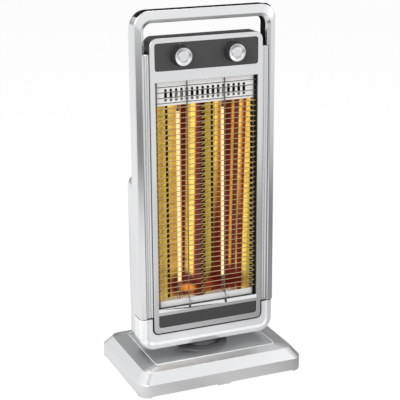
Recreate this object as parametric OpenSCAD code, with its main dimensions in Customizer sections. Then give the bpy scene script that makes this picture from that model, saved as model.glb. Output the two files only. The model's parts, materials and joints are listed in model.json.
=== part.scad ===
// Twin-tube carbon heater: an upright heater body on a swivelling base.
// Millimetres. X to the right, Y to the back, Z up, origin on the floor under the base's middle.

/* [Overall] */
// Height from the floor to the top of the handle
overall_h = 700; // [670:5:760]
// Space between the base's top and the body's underside
body_gap = 10; // [8:0.5:14]

/* [Base] */
// Width of the base
base_w = 334; // [320:2:370]
// Depth of the base
base_d = 235; // [225:1:260]
// Corner radius of the skirt
base_r = 24; // [20:1:30]
// Corner radius of the top rim
rim_r = 20; // [16:1:24]
// Lift of the skirt between its feet
skirt_lift = 3; // [2.5:0.5:4]
// Height of the skirt's upper edge
skirt_z = 26; // [24:1:29]
// Distance that the bevel runs in
bevel_in = 15; // [12:1:18]
// Height of the top rim
rim_z = 44; // [43:0.5:48]
// Rise of the crowned top from its rim to the recess
crown_rise = 4; // [3:0.5:5]
// Width of the recess in the top
recess_w = 244; // [236:1:250]
// Depth of the recess from front to back
recess_d = 160; // [150:1:168]
// Corner radius of the recess
recess_r = 5; // [3:0.5:8]
// How deep the recess is sunk
recess_h = 3.5; // [3:0.5:4]
// Wall of the base cover
base_wall = 2.5; // [2:0.1:3]
// Thickness of the steel base plate
plate_t = 1.2; // [1:0.1:1.6]
// Radius of the raised disc that the body turns on
disc_r = 52; // [46:1:58]
// Height of that raised disc
disc_h = 1.5; // [1:0.1:2]
// Radius of a rubber foot
foot_r = 9; // [7:0.5:11]
// Width of the skirt's feet at the corners, measured along a side
corner_foot = 22; // [18:1:28]
// Width of the skirt's feet at the middle of the front and back
mid_foot = 27; // [20:1:34]

// Length of the screws that hold the base plate
base_screw_l = 12; // [10:1:16]

/* [Body] */
// Width of the body over its handle frame
body_w = 274; // [268:1:284]
// Corner radius of the body
body_r = 28; // [24:1:32]
// Distance from the pivot to the frame's front face
front_y = 40; // [38:0.5:44]
// Depth of the handle frame
frame_d = 32; // [30:0.5:36]
// Width of the frame's front face at the sides
frame_w = 17.4; // [16:0.2:19]
// Height of the handle bar
bar_h = 22; // [19:0.5:24]
// Radius of the handle opening's corners
grip_r = 15; // [10:1:17]
// Hand space between the bar and the housing
handle_gap = 27; // [25:1:34]
// Depth of the frame's front part, ahead of the dark grip
front_t = 7; // [6:0.5:9]
// Depth of the frame's silver front on top of the bar
bar_front = 4; // [3:0.5:5]
// Rounding along the top of the bar, at its back
bar_r = 12; // [8:0.5:14]
// Rounding of the grip's edges at the back of the handle opening
grip_round = 4; // [3:0.5:5]
// Wall of the moulded shells
shell_t = 2.5; // [2:0.1:3]
// Rounding of the frame's outer front edge
lip_r = 1.8; // [1.2:0.1:2]
// How far the ridge on the frame's front stands out from its outer edge
crown = 2.6; // [1.6:0.1:3]
// Width of the chamfer between that ridge and the handle opening
ridge_w = 6; // [5:0.1:6.5]
// Depth of that chamfer
chamfer_h = 3; // [2.4:0.1:3.4]
// Height of the bottom cup's upper seam above the body's underside
cup_h = 65; // [60:1:75]
// Rounding of the cup's front edge
cup_r = 6; // [4:0.5:8]
// Open seam between the cup and the frame
cup_gap = 1; // [0.8:0.1:1.2]
// Gap round the bezel's foot in the cup
foot_gap = 2.4; // [1.6:0.1:2.6]
// Height of the cup in front, below the bezel
cup_front = 33; // [31:0.5:36]
// Distance from the pivot to the lower back's rear face
back_y = 33; // [31:0.5:38]
// Rounding of the lower back's edges
back_r = 21; // [14:1:22]
// Height of the lower back above the floor
back_top = 393; // [380:1:410]
// Distance from the pivot to the upper back's rear face
upper_y = 27; // [25.5:0.5:30]
// Width of the upper back
upper_w = 226; // [216:1:230]
// Rounding of the upper back's edges
upper_r = 11; // [8:0.5:14]

/* [Bezel] */
// Width of the bezel
bezel_w = 221; // [219:0.5:223]
// How far the bezel stands out from the frame
bezel_out = 2.5; // [2:0.1:3.5]
// Thickness of the bezel's face
bezel_t = 3; // [2.6:0.1:3.2]
// Bevel round the bezel's front
bezel_edge = 0.8; // [0.5:0.1:1.2]
// Radius of the bezel's upper corners
bezel_r = 15; // [12:1:18]
// Radius of the bezel's lower corners
bezel_foot_r = 9; // [7:0.5:11]
// Width of the three windows
window_w = 202; // [198:0.5:203]
// Rim above the control panel
panel_rim = 9; // [8:0.5:11]
// Height of the control panel
panel_h = 50; // [48:1:54]
// Bridge between the control panel and the grille
bridge_h = 20; // [16:1:24]
// Rim below the lower strip
strip_rim = 11.2; // [10:0.2:13]
// Height of the lower strip
strip_h = 24.4; // [22:0.2:27]
// Bridge between the lower strip and the grille
sill_h = 12.4; // [11:0.2:14]
// Drop from the housing's top to the side trims
shoulder = 27.5; // [25:0.5:32]
// Width of a side trim
trim_w = 12.6; // [12:0.1:13]

/* [Guard] */
// Number of level wires
wire_n = 42; // [35:1:46]
// Radius of a level wire
wire_r = 0.85; // [0.8:0.05:1.1]
// Radius of an upright
upright_r = 1.2; // [1.1:0.05:1.6]
// Place of the inner uprights, left and right of the middle
upright_x = 37; // [30:1:42]

/* [Heating] */
// Place of a tube, left and right of the middle
tube_x = 45; // [40:0.5:48]
// Distance of the tubes ahead of the pivot
tube_y = 9; // [7:0.5:11]
// Radius of a quartz tube
tube_r = 5.5; // [5.2:0.1:6]
// Wall of a quartz tube
tube_t = 1; // [0.8:0.1:1.2]
// Width of the carbon strip
strip_w = 7.2; // [5:0.1:7.6]
// Thickness of the carbon strip
strip_t = 0.8; // [0.5:0.1:1.2]
// Distance behind the pivot of the reflector's deepest folds
trough_y = 12; // [10:0.5:13]
// Distance ahead of the pivot of the reflector's middle ridge
ridge_y = 10; // [7:0.5:12]
// Thickness of the sheet metal parts
sheet_t = 0.8; // [0.6:0.1:1]
// Height of the slotted plate above the tubes' window
vent_h = 45; // [42:1:48]
// Height of the lip below the tubes' window
floor_h = 12; // [10:0.5:15]
// Number of slot columns in the slotted plate
slot_n = 16; // [12:2:18]
// Distance from one slot column to the next
slot_pitch = 10.3; // [9:0.1:10.8]
// Width of a slot
slot_w = 4.6; // [3:0.1:5]

/* [Controls] */
// Distance between the two knobs
knob_gap = 104; // [96:1:112]
// Radius of a knob at its front
knob_r = 16.6; // [15:0.2:18.5]
// Length of a knob
knob_l = 15.4; // [12:0.2:18]
// Width of a rotary switch behind the panel
switch_w = 34; // [28:1:38]
// Depth of a rotary switch
switch_d = 20; // [16:1:24]
// Radius of a knob's shaft
shaft_r = 3; // [2.5:0.1:3.5]

/* [Swivel] */
// Radius of the pivot tube
pivot_r = 14; // [12:0.5:15]
// Wall of the pivot tube
pivot_t = 4; // [3:0.5:5]
// Radius of the neck below the body
neck_r = 34; // [30:1:36]
// Module of the gear teeth
gear_m = 1.5; // [1.4:0.05:1.55]
// Teeth of a full wheel with the sector's pitch circle
sector_n = 60; // [54:2:62]
// Teeth of the motor's pinion
pinion_n = 16; // [14:1:18]
// Thickness of the gears
gear_t = 5; // [4:0.5:5.5]
// Radius of the swivel motor
motor_r = 25; // [22:1:26]
// Radius of the tip-over plunger
plunger_r = 4; // [3:0.5:5]

/* [Hidden] */
$fn = 48;

silver = [0.80, 0.81, 0.82];
pale_silver = [0.90, 0.91, 0.92];
dark_grey = [0.28, 0.28, 0.29];
black = [0.12, 0.12, 0.13];
steel = [0.75, 0.76, 0.78];
ceramic_white = [0.93, 0.92, 0.88];

seat = 0.2;      // gap between still parts that seat on each other
seam = 0.3;      // open seam between outer shells
run = 0.3;       // gap beside a part that moves
shaft_gap = 0.06; // radial clearance of a turning shaft
cut = 1;         // how far a cutting shape runs past what it cuts
lap = 0.1;       // how far the sheet plates reach into the liner's clearance
skin = 0.01;     // thickness of a slice that a blended shape passes through

// heights of the base
base_top = rim_z + crown_rise;
recess_z = base_top - recess_h;
disc_z = recess_z + disc_h;
ceiling_z = rim_z - base_wall - 0.5;
plate_z = skirt_lift;
plate_top = plate_z + plate_t;
foot_x = base_w / 2 - base_r - 7;
foot_y = base_d / 2 - base_r - 5;
post_x = foot_x - 16;
post_r = 4;
screw_r = 1.5;

// heights of the body
body_z = base_top + body_gap;
housing_top = overall_h - bar_h - handle_gap;
shoulder_z = housing_top - shoulder;
cup_z = body_z + cup_h;
bezel_z = body_z + cup_front + seam;
panel_z1 = housing_top - panel_rim;
panel_z0 = panel_z1 - panel_h;
window_z1 = panel_z0 - bridge_h;
strip_z0 = bezel_z + strip_rim;
strip_z1 = strip_z0 + strip_h;
window_z0 = strip_z1 + sill_h;

// depths of the body, front to back
frame_back = frame_d - front_y;
bezel_y = -front_y - bezel_out;
bezel_back = bezel_y + bezel_t;
grip_y = -front_y + front_t;
flange_t = 2.5;
panel_sink = 1.2;
panel_face = bezel_y + panel_sink;
panel_back = bezel_back + seat + 1.6;
return_t = 2.2;

// widths inside the body
grip_x = body_w / 2 - frame_w;
trim_x = bezel_w / 2 + seam;
pocket_x = trim_x + trim_w + seam;
panel_r = 5;
half_sheet = window_w / 2 - 3.5;

// guard and reflector
wire_y = bezel_back + wire_r + 1.6;
upright_y = wire_y + wire_r + upright_r + 0.1;
liner_t = 2;
plate_y = upright_y + upright_r + 1.6;
liner_y = plate_y + 1.5;
shelf_z = window_z0 - lap;
chamber_z0 = window_z0 + floor_h;
chamber_z1 = window_z1 - vent_h;
wing_y = plate_y + sheet_t + 1;
chassis_y = trough_y + sheet_t + 0.5;
chassis_x = window_w / 2 + liner_t + 1.5;
cap_r = 8.5;
cap_h = 20;

// swivel drive
sector_r = gear_m * sector_n / 2;
pinion_r = gear_m * pinion_n / 2;
drive_y = sector_r + pinion_r;
boss_r = pivot_r + 6;
boss_z = ceiling_z - 6;
gear_z = boss_z - run - gear_t - 1;
neck_z = disc_z + 1 + seat;
clip_z = gear_z - 3;
motor_top = gear_z - 2;

// A face drawn in X and Z, stretched from y0 to y1
module slab(y0, y1) {
    translate([0, y1, 0]) rotate([90, 0, 0]) linear_extrude(y1 - y0) children();
}

// Rounded outline in two dimensions, symmetric left and right, from z0 up to z1
module outline(w, z0, z1, r0, r1) {
    translate([-w / 2, z0 + r0]) square([w, z1 - r1 - z0 - r0]);
    if (r0 > 0) {
        translate([-w / 2 + r0, z0]) square([w - 2 * r0, r0]);
        for (s = [-1, 1]) translate([s * (w / 2 - r0), z0 + r0]) circle(r0);
    }
    if (r1 > 0) {
        translate([-w / 2 + r1, z1 - r1]) square([w - 2 * r1, r1]);
        for (s = [-1, 1]) translate([s * (w / 2 - r1), z1 - r1]) circle(r1);
    }
}

// Rounded rectangle lying flat
module flat_rect(w, d, r) {
    square([w - 2 * r, d], center = true);
    square([w, d - 2 * r], center = true);
    for (x = [-1, 1], y = [-1, 1]) translate([x * (w / 2 - r), y * (d / 2 - r)]) circle(r);
}

module flat_slab(w, d, r, z0, z1) {
    translate([0, 0, z0]) linear_extrude(z1 - z0) flat_rect(w, d, r);
}

module tube(r_out, r_in, h) {
    difference() {
        cylinder(r = r_out, h = h);
        translate([0, 0, -cut]) cylinder(r = r_in, h = h + 2 * cut);
    }
}

// A round part along Y, starting at y0 and running to the back
module along_y(x, y0, z) {
    translate([x, y0, z]) rotate([-90, 0, 0]) children();
}

// Round wires of 8 sides along a bent path: ring() gives the points round one place of the path,
// and wires() joins a number of wires with the same number of rings into one node.
wire_sides = 8;
function norm2(v) = v / norm(v);
function path_dir(p, i) = norm2(p[min(i + 1, len(p) - 1)] - p[max(i - 1, 0)]);
function ring(p, i, r) = [
    for (k = [0:wire_sides - 1])
        let (d = path_dir(p, i), a = 360 * k / wire_sides)
            [p[i][0] - d[1] * r * cos(a), p[i][1] + d[0] * r * cos(a), r * sin(a)]
];
function wire_faces(n, first) = concat(
    [[for (k = [0:wire_sides - 1]) first + k]],
    [for (i = [0:n - 2], k = [0:wire_sides - 1])
        let (a = first + i * wire_sides + k, b = first + i * wire_sides + (k + 1) % wire_sides)
            [a, a + wire_sides, b + wire_sides, b]],
    [[for (k = [wire_sides - 1:-1:0]) first + (n - 1) * wire_sides + k]]
);
module wires(points, rings, count) {
    polyhedron(points, [for (j = [0:count - 1]) each wire_faces(rings, j * rings * wire_sides)]);
}

// BASE

module base_shell(inset, top_cut) {
    w = base_w - 2 * inset;
    d = base_d - 2 * inset;
    hull() {
        flat_slab(w, d, base_r - inset, top_cut ? -cut : 0.5, skirt_z);
        flat_slab(w - 2 * bevel_in, d - 2 * bevel_in, rim_r - inset, skirt_z,
            top_cut ? ceiling_z : rim_z);
    }
}

module base_cover() color(silver) difference() {
    union() {
        base_shell(0, false);
        hull() {
            flat_slab(base_w - 2 * bevel_in, base_d - 2 * bevel_in, rim_r, rim_z - skin, rim_z);
            flat_slab(recess_w + 3, recess_d + 3, recess_r + 1.5, rim_z, base_top);
        }
    }
    difference() {
        base_shell(base_wall, true);
        translate([0, 0, boss_z]) cylinder(r = boss_r, h = ceiling_z);
        for (x = [-1, 1], y = [-1, 1])
            translate([x * post_x, y * foot_y, plate_top]) cylinder(r = post_r, h = ceiling_z);
    }
    // recess round the raised disc
    difference() {
        flat_slab(recess_w, recess_d, recess_r, recess_z, base_top + cut);
        translate([0, 0, recess_z - cut]) cylinder(r = disc_r, h = disc_h + cut);
    }
    translate([0, 0, disc_z - 0.5]) tube(neck_r + 4, neck_r + 2, base_top);
    cylinder(r = pivot_r + shaft_gap, h = base_top + cut);
    // pilot holes in the posts
    for (x = [-1, 1], y = [-1, 1])
        translate([x * post_x, y * foot_y, -cut])
            cylinder(r = screw_r + 0.1, h = plate_top + base_screw_l + 2);
    // the skirt is lifted between its feet
    for (s = [-1, 1]) {
        half = (base_w / 2 - corner_foot - mid_foot / 2) / 2;
        translate([s * (mid_foot / 2 + half), 0, 0])
            cube([2 * half, base_d + 2 * cut, 2 * skirt_lift], center = true);
    }
    cube([base_w + 2 * cut, base_d - 2 * corner_foot - 4, 2 * skirt_lift], center = true);
    // seat of the cord gland in the back wall
    along_y(gland_x, base_d / 2 - base_wall - cut, gland_z) cylinder(r = gland_r + seat, h = 10);
    along_y(gland_x, base_d / 2 - 1.6, gland_z) cylinder(r = gland_r + 2 + seat, h = 10);
}

module base_plate() color(steel) difference() {
    flat_slab(base_w - 2 * (base_wall + seam), base_d - 2 * (base_wall + seam),
        base_r - base_wall - seam, plate_z, plate_top);
    for (x = [-1, 1], y = [-1, 1])
        translate([x * post_x, y * foot_y, 0]) cylinder(r = screw_r + 0.3, h = 10);
    translate([tip_x, tip_y, 0]) cylinder(r = plunger_r + run, h = 10);
    for (i = [-5:5])
        translate([i * 9 - 1.5, -base_d / 4 - 14, 0]) cube([3, 28, 10]);
}

module rubber_feet() color(black)
    for (x = [-1, 1], y = [-1, 1])
        translate([x * foot_x, y * foot_y, 0]) cylinder(r1 = foot_r - 0.8, r2 = foot_r, h = plate_z);

module base_screws() color(steel)
    for (x = [-1, 1], y = [-1, 1]) translate([x * post_x, y * foot_y, 0]) {
        translate([0, 0, plate_z - 1.6]) cylinder(r = 3.2, h = 1.6);
        translate([0, 0, plate_z - 1]) cylinder(r = screw_r, h = base_screw_l);
    }

module thrust_ring() color([0.9, 0.9, 0.86])
    translate([0, 0, disc_z]) tube(neck_r - 4, pivot_r + 1.5, 1);

gland_x = 92;
gland_z = 14;
gland_r = 6;
module cord_gland() color(black) {
    along_y(gland_x, base_d / 2 - 1.6 + seat, gland_z) tube(gland_r + 2, 3.6, 1.3);
    along_y(gland_x, base_d / 2 - base_wall - 6, gland_z) tube(gland_r, 3.6, base_wall + 4.6);
    along_y(gland_x, base_d / 2 - base_wall - 2.6, gland_z) tube(gland_r + 2, gland_r - 1, 2.2);
}

// SWIVEL DRIVE

// Involute wheel, as polar points. The flank's half angle follows from the pitch circle.
pressure = 25;
backlash = 0.4;
function involute(a) = tan(a) * 180 / PI - a;
function half_angle(n, r) =
    let (rp = gear_m * n / 2, rb = rp * cos(pressure), q = max(r, rb))
        (PI * gear_m / 2 - backlash) / (2 * rp) * 180 / PI + involute(pressure)
            - involute(acos(rb / q));
function flank(n) =
    let (rp = gear_m * n / 2, rf = rp - 1.25 * gear_m, ra = rp + 0.9 * gear_m,
        rb = max(rf + 0.05, rp * cos(pressure)))
        concat([rf], [for (k = [0:4]) rb + (ra - rb) * k / 4]);
function tooth(n, at) = [
    for (r = flank(n)) let (a = at - half_angle(n, r)) [r * cos(a), r * sin(a)],
    for (i = [len(flank(n)) - 1:-1:0])
        let (r = flank(n)[i], a = at + half_angle(n, r)) [r * cos(a), r * sin(a)]
];
// degrees of the sector on each side of the motor
sector_half = 51;

module sector_outline() {
    step = 360 / sector_n;
    last = floor(sector_half / step);
    polygon(concat(
        [[0, 0]],
        [for (i = [-last:last - 1]) each tooth(sector_n, 90 + (i + 0.5) * step)]
    ));
}

module sector_gear() color([0.9, 0.88, 0.8]) {
    translate([0, 0, gear_z]) difference() {
        union() {
            linear_extrude(gear_t) sector_outline();
            cylinder(r = boss_r - 1, h = gear_t + 1);
        }
        translate([0, 0, -cut]) cylinder(r = pivot_r + 0.05, h = gear_t + 4);
        // lightening window between hub and rim
        translate([0, 0, -cut]) linear_extrude(gear_t + 4) intersection() {
            difference() {
                circle(sector_r - 6);
                circle(boss_r + 4);
            }
            polygon([for (a = [60, 75, 90, 105, 120]) [sector_r * cos(a), sector_r * sin(a)], [0, 0]]);
        }
    }
}

module motor_pinion() color([0.85, 0.83, 0.75]) {
    step = 360 / pinion_n;
    translate([0, drive_y, gear_z])
        linear_extrude(gear_t)
            polygon([for (i = [0:pinion_n - 1]) each tooth(pinion_n, 270 + i * step)]);
    translate([0, drive_y, motor_top - 6]) cylinder(r = 2.5, h = gear_z - motor_top + 7);
}

module swivel_motor() color([0.72, 0.72, 0.7]) difference() {
    union() {
        translate([0, drive_y, plate_top + seat]) cylinder(r = motor_r, h = motor_top - plate_top - seat);
        for (s = [-1, 1])
            translate([s * (motor_r + 4) - 5, drive_y - 5, plate_top + seat]) cube([10, 10, 2]);
        translate([-8, drive_y + motor_r - 3, plate_top + seat]) cube([16, 9, 12]);
    }
    translate([0, drive_y, motor_top - 6 - run]) cylinder(r = 2.5 + shaft_gap, h = 20);
    for (s = [-1, 1]) translate([s * (motor_r + 6), drive_y, 0]) cylinder(r = 1.6, h = 20);
}

module swivel_neck() color(black) difference() {
    union() {
        translate([0, 0, neck_z]) cylinder(r1 = neck_r, r2 = neck_r - 2, h = body_z - seat - neck_z);
        translate([0, 0, clip_z - 1]) cylinder(r = pivot_r, h = neck_z - clip_z + 2);
    }
    cylinder(r = pivot_r - pivot_t, h = body_z + cut);
    translate([0, 0, clip_z]) tube(pivot_r + cut, pivot_r - 1, 2);
}

module pivot_clip() color(steel)
    translate([0, 0, clip_z + 0.3]) difference() {
        tube(pivot_r + 4, pivot_r - 0.9, 1.4);
        translate([-5, 0, -cut]) cube([10, pivot_r + 8, 4]);
    }

// TIP-OVER SWITCH

tip_x = -96;
tip_y = -34;
tip_travel = 6;
tip_case = [26, 16, 19];
tip_top = plate_top + seat + tip_case[2];
collar_r = plunger_r + 2;
collar_z = plate_top + run + tip_travel;
collar_t = 1.4;
ledge_z = tip_top - 4;

module tip_switch_case() color(black) difference() {
    translate([tip_x - tip_case[0] / 2, tip_y - tip_case[1] / 2, plate_top + seat])
        cube(tip_case);
    translate([tip_x, tip_y, 0]) cylinder(r = plunger_r + run, h = tip_top - 1.5);
    translate([tip_x, tip_y, 0]) cylinder(r = collar_r + run, h = ledge_z);
}

module tip_plunger() color([0.8, 0.2, 0.15]) {
    translate([tip_x, tip_y, tip_lift]) cylinder(r = plunger_r, h = ledge_z + 1 - tip_lift);
    translate([tip_x, tip_y, collar_z]) cylinder(r = collar_r, h = collar_t);
}
tip_lift = 0.4; // plunger's height above the floor while the heater stands

// Return spring on the plunger's upper end, as one coiled tube
spring_r = plunger_r + 1.15;
spring_wire = 0.4;
spring_z0 = collar_z + collar_t + spring_wire + 0.15;
spring_z1 = ledge_z - spring_wire - 0.15;
module tip_spring() color(steel) {
    turns = 3;
    steps = 8;
    n = turns * steps;
    points = [
        for (i = [0:n], k = [0:5])
            let (a = 360 * i / steps, b = 60 * k, r = spring_r + spring_wire * cos(b))
                [r * cos(a), r * sin(a), (spring_z1 - spring_z0) * i / n + spring_wire * sin(b)]
    ];
    faces = concat(
        [[0, 1, 2, 3, 4, 5]],
        [for (i = [0:n - 1], k = [0:5])
            let (a = i * 6 + k, b = i * 6 + (k + 1) % 6) [a, a + 6, b + 6, b]],
        [[for (k = [5:-1:0]) n * 6 + k]]
    );
    translate([tip_x, tip_y, spring_z0]) polyhedron(points, faces);
}

// BODY SHELLS

// Body outline shrunk by a margin, but not at an end that has no corner radius
module shrunk_outline(z0, z1, r0, r1, in)
    outline(body_w - 2 * in, z0 + (r0 > 0 ? in : 0), z1 - (r1 > 0 ? in : 0),
        max(r0 - in, 0), max(r1 - in, 0));

// Front form of the frame or cup: its edge is rounded off, and its face rises to a ridge line
module frame_front(z0, z1, r0, r1, edge) {
    hull() {
        slab(ridge_top, ridge_top + skin) children();
        slab(-front_y, -front_y + skin)
            shrunk_outline(z0, z1, r0, r1, edge);
        slab(-front_y + 0.35 * edge, -front_y + 0.35 * edge + skin)
            shrunk_outline(z0, z1, r0, r1, 0.3 * edge);
        slab(-front_y + edge, grip_y) outline(body_w, z0, z1, r0, r1);
    }
}

// The opening that the handle bar spans, grown by a margin
module handle_opening(grow) inner_line(grow, shoulder_z - 2 * shoulder);
module inner_line(grow, z0) {
    outline(2 * (grip_x + grow), z0, overall_h - bar_h + grow, 0, grip_r + grow);
}

// The cup's ridge line, shrunk by a margin
module cup_line(in, z1) {
    d = frame_w - ridge_w + in;
    outline(body_w - 2 * d, body_z + d, z1, body_r - d, 0);
}
ridge_top = -front_y - crown;
ridge_flat = 0.4;
chamfer_run = ridge_w - ridge_flat;

// Outer form behind the frame's front, rounded along the top towards the back
module bar_form(inset, y0, z0) hull() {
    w = body_w - 2 * inset;
    slab(y0, frame_back - bar_r) outline(w, z0, overall_h - inset, 0, body_r - inset);
    for (a = [25, 50, 70, 90]) {
        y = frame_back - bar_r * (1 - sin(a));
        slab(y - skin, y) outline(w, z0, overall_h - inset - bar_r * (1 - cos(a)), 0, body_r - inset);
    }
}

// where the silver outer wall gives way to the dark grip, half way round the corner
wall_x = body_w / 2 - body_r + body_r * sin(45);
tongue_y = -front_y + bar_front;

// the grip's skin over the top of the bar, in two dimensions
module top_skin(x, t) intersection() {
    difference() {
        outline(body_w, shoulder_z, overall_h + t, 0, body_r);
        outline(body_w - 2 * t, shoulder_z - cut, overall_h - t, 0, body_r - t);
    }
    translate([-x, overall_h - body_r]) square([2 * x, 2 * body_r]);
}

module handle_frame() color(silver) {
    low = cup_z + cup_gap;
    under = cup_z - shoulder;
    difference() {
        frame_front(under, overall_h, 0, body_r, lip_r) inner_line(ridge_w, under);
        // everything below the cup's seam
        translate([-body_w, ridge_top - cut, cup_z - 2 * shoulder])
            cube([2 * body_w, frame_d, 2 * shoulder + cup_gap]);
        // handle opening, and the pocket for the bezel and its trims
        slab(ridge_top - cut, grip_y + cut) handle_opening(0);
        translate([-pocket_x, ridge_top - cut, low - cut])
            cube([2 * pocket_x, front_t + crown + 2 * cut, shoulder_z + seam - low + cut]);
        // chamfer from the ridge to the handle opening, carried on down beside the trims
        hull() {
            slab(ridge_top - 0.1 * chamfer_h - skin, ridge_top - 0.1 * chamfer_h)
                inner_line(1.1 * chamfer_run, under);
            slab(ridge_top + 1.1 * chamfer_h, ridge_top + 1.1 * chamfer_h + skin)
                inner_line(-0.1 * chamfer_run, under);
        }
        // the grip laps over the top
        slab(tongue_y, grip_y + cut) top_skin(wall_x + seat, shell_t + seat);
    }
    // outer walls
    intersection() {
        slab(grip_y, frame_back) difference() {
            outline(body_w, low, overall_h, 0, body_r);
            outline(body_w - 2 * shell_t, low - cut, overall_h - shell_t, 0, body_r - shell_t);
            translate([-wall_x, low - cut]) square([2 * wall_x, overall_h]);
        }
        bar_form(0, grip_y, low);
    }
    // webs behind the side trims, and the legs' inner walls
    for (s = [-1, 1]) {
        translate([s > 0 ? grip_x : -body_w / 2 + shell_t, grip_y, low])
            cube([frame_w - shell_t, flange_t, shoulder_z - low]);
        translate([s > 0 ? grip_x : -grip_x - shell_t, grip_y + flange_t, low])
            cube([shell_t, frame_back - grip_y - flange_t, shoulder_z - low]);
    }
}

module handle_grip() color(black) {
    gap = shell_t + seat;
    difference() {
        union() {
            bar_form(gap, grip_y + seat, shoulder_z + seat);
            intersection() {
                bar_form(0, grip_y + seat, shoulder_z + seat);
                translate([seat - wall_x, -body_w, 0]) cube([2 * (wall_x - seat), 2 * body_w, 2 * overall_h]);
            }
            slab(tongue_y + seat, grip_y + 1) intersection() {
                top_skin(wall_x - seat, shell_t);
                translate([-body_w, 0]) square([2 * body_w, overall_h]);
            }
        }
        slab(tongue_y, frame_back + cut) handle_opening(0);
        // rounded edge at the back of the opening
        hull() {
            slab(frame_back - grip_round, frame_back - grip_round + skin) handle_opening(0);
            slab(frame_back - 0.3 * grip_round, frame_back - 0.3 * grip_round + skin)
                handle_opening(0.3 * grip_round);
        }
        hull() {
            slab(frame_back - 0.3 * grip_round, frame_back - 0.3 * grip_round + skin)
                handle_opening(0.3 * grip_round);
            slab(frame_back, frame_back + skin) handle_opening(grip_round);
        }
        // hollow from the front
        slab(grip_y - cut, frame_back - grip_round - 3) difference() {
            outline(body_w - 2 * (gap + shell_t), shoulder_z + seat + shell_t,
                overall_h - shell_t - 1.2, 0, body_r - gap - shell_t);
            handle_opening(shell_t);
        }
    }
}

// Strips that close the legs behind, and ledges at the bottom of the side slots
module leg_backs() color(black) {
    gap = shell_t + seat;
    ledge_w = grip_x - seam - trim_x;
    for (s = [-1, 1]) {
        translate([s > 0 ? grip_x + gap : -body_w / 2 + gap, frame_back - flange_t, back_top + seam])
            cube([frame_w - 2 * gap, flange_t, shoulder_z - seam - back_top]);
        translate([s > 0 ? trim_x : -trim_x - ledge_w, grip_y + seat, shoulder_z - flange_t])
            cube([ledge_w, frame_back - grip_y - seat, flange_t]);
    }
}

module side_trim(s) {
    // grooved moulding between the bezel and the frame
    groove = 1.6;
    x0 = s > 0 ? trim_x : -trim_x - trim_w;
    difference() {
        translate([x0, -front_y + trim_sink, cup_z + cup_gap])
            cube([trim_w, front_t - trim_sink - seat, shoulder_z - cup_gap - cup_z]);
        for (g = [0.3, 0.68])
            translate([s * (trim_x + trim_w * g), -front_y + trim_sink, cup_z]) rotate([0, 0, 45])
                translate([-groove / 2, -groove / 2, -cut]) cube([groove, groove, shoulder_z]);
        // bevelled top edge
        translate([x0 - cut, -front_y + trim_sink, shoulder_z]) rotate([45, 0, 0])
            translate([0, -1, -1]) cube([trim_w + 2 * cut, 2, 2]);
    }
}
trim_sink = 0.6;
module side_trim_left() color(silver) side_trim(-1);
module side_trim_right() color(silver) side_trim(1);

module bottom_cup() color(pale_silver) difference() {
    union() {
        frame_front(body_z, cup_z, body_r, 0, cup_r) cup_line(0, cup_z);
        slab(grip_y, frame_back - seam / 2) outline(body_w, body_z, cup_z, body_r, 0);
    }
    // inside
    slab(-front_y + shell_t + 1.5, frame_back + cut)
        outline(body_w - 2 * shell_t, body_z + shell_t, cup_z + cut, body_r - shell_t, 0);
    // pocket for the bezel's foot
    slab(ridge_top - cut, grip_y + 4)
        outline(bezel_w + 2 * foot_gap, bezel_z - foot_gap, cup_z + cut, bezel_foot_r + foot_gap, 0);
    // the frame's chamfer carries on inside the ridge, down to a flat face
    fall = crown - 0.2;
    hull() {
        slab(ridge_top - 0.1 * chamfer_h - skin, ridge_top - 0.1 * chamfer_h)
            cup_line(ridge_flat - 0.1 * chamfer_run, cup_z + cut);
        slab(ridge_top + fall - skin, ridge_top + fall)
            cup_line(ridge_flat + fall * chamfer_run / chamfer_h, cup_z + cut);
    }
    // way for the wires from the pivot tube
    translate([0, 0, body_z - cut]) cylinder(r = pivot_r - pivot_t, h = 10);
}

// Black seal strip round the bezel's foot and along the seam above the cup
module foot_seal() color(black) {
    face_y = -front_y + 0.4;
    back = -front_y + shell_t + 2.5;
    top = cup_z + cup_gap - seat;
    slab(face_y, back) difference() {
        outline(bezel_w + 2 * (foot_gap - seat), bezel_z - foot_gap + seat, top,
            bezel_foot_r + foot_gap - seat, 0);
        outline(bezel_w + 2 * seat, bezel_z - seat, top + cut, bezel_foot_r + seat, 0);
    }
    half = body_w / 2 - 0.5;
    for (s = [-1, 1]) translate([0, 0, cup_z + seat]) linear_extrude(cup_gap - 2 * seat) polygon([
        [s * (bezel_w / 2 + seat), face_y], [s * (half - cup_r), face_y],
        [s * (half - 0.3 * cup_r), face_y + 0.35 * cup_r], [s * half, face_y + cup_r],
        [s * half, frame_back - 0.5], [s * (half + 0.7 - shell_t), frame_back - 0.5],
        [s * (half + 0.7 - shell_t), back], [s * (bezel_w / 2 + seat), back]
    ]);
}

// Shell form rounded towards the back in steps of a quarter circle; r0 rounds its lower corners,
// and at zero leaves the lower edge straight
module back_form(w, z0, z1, r0, r1, y0, y1, r) hull() {
    slab(y0, y1 - r) outline(w, z0, z1, r0, r1);
    for (a = [30, 60, 90]) {
        e = r * (1 - cos(a));
        y = y1 - r * (1 - sin(a));
        slab(y - skin, y)
            outline(w - 2 * e, r0 > 0 ? z0 + e : z0, z1 - e, r0 > 0 ? max(r0 - e, 2) : 0, max(r1 - e, 2));
    }
}

// Lower back, shrunk by an inset
module lower_form(inset, y0)
    back_form(body_w - 2 * inset, body_z + inset, back_top - inset, body_r - inset, back_r - inset,
        y0, back_y - inset, back_r - inset);

// room that the heating part takes behind the frame
module chamber_room() translate([-chassis_x - 1, frame_back - cut, chamber_z0])
    cube([2 * chassis_x + 2, chassis_y + sheet_t + 1 - frame_back + cut, chamber_z1]);

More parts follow.
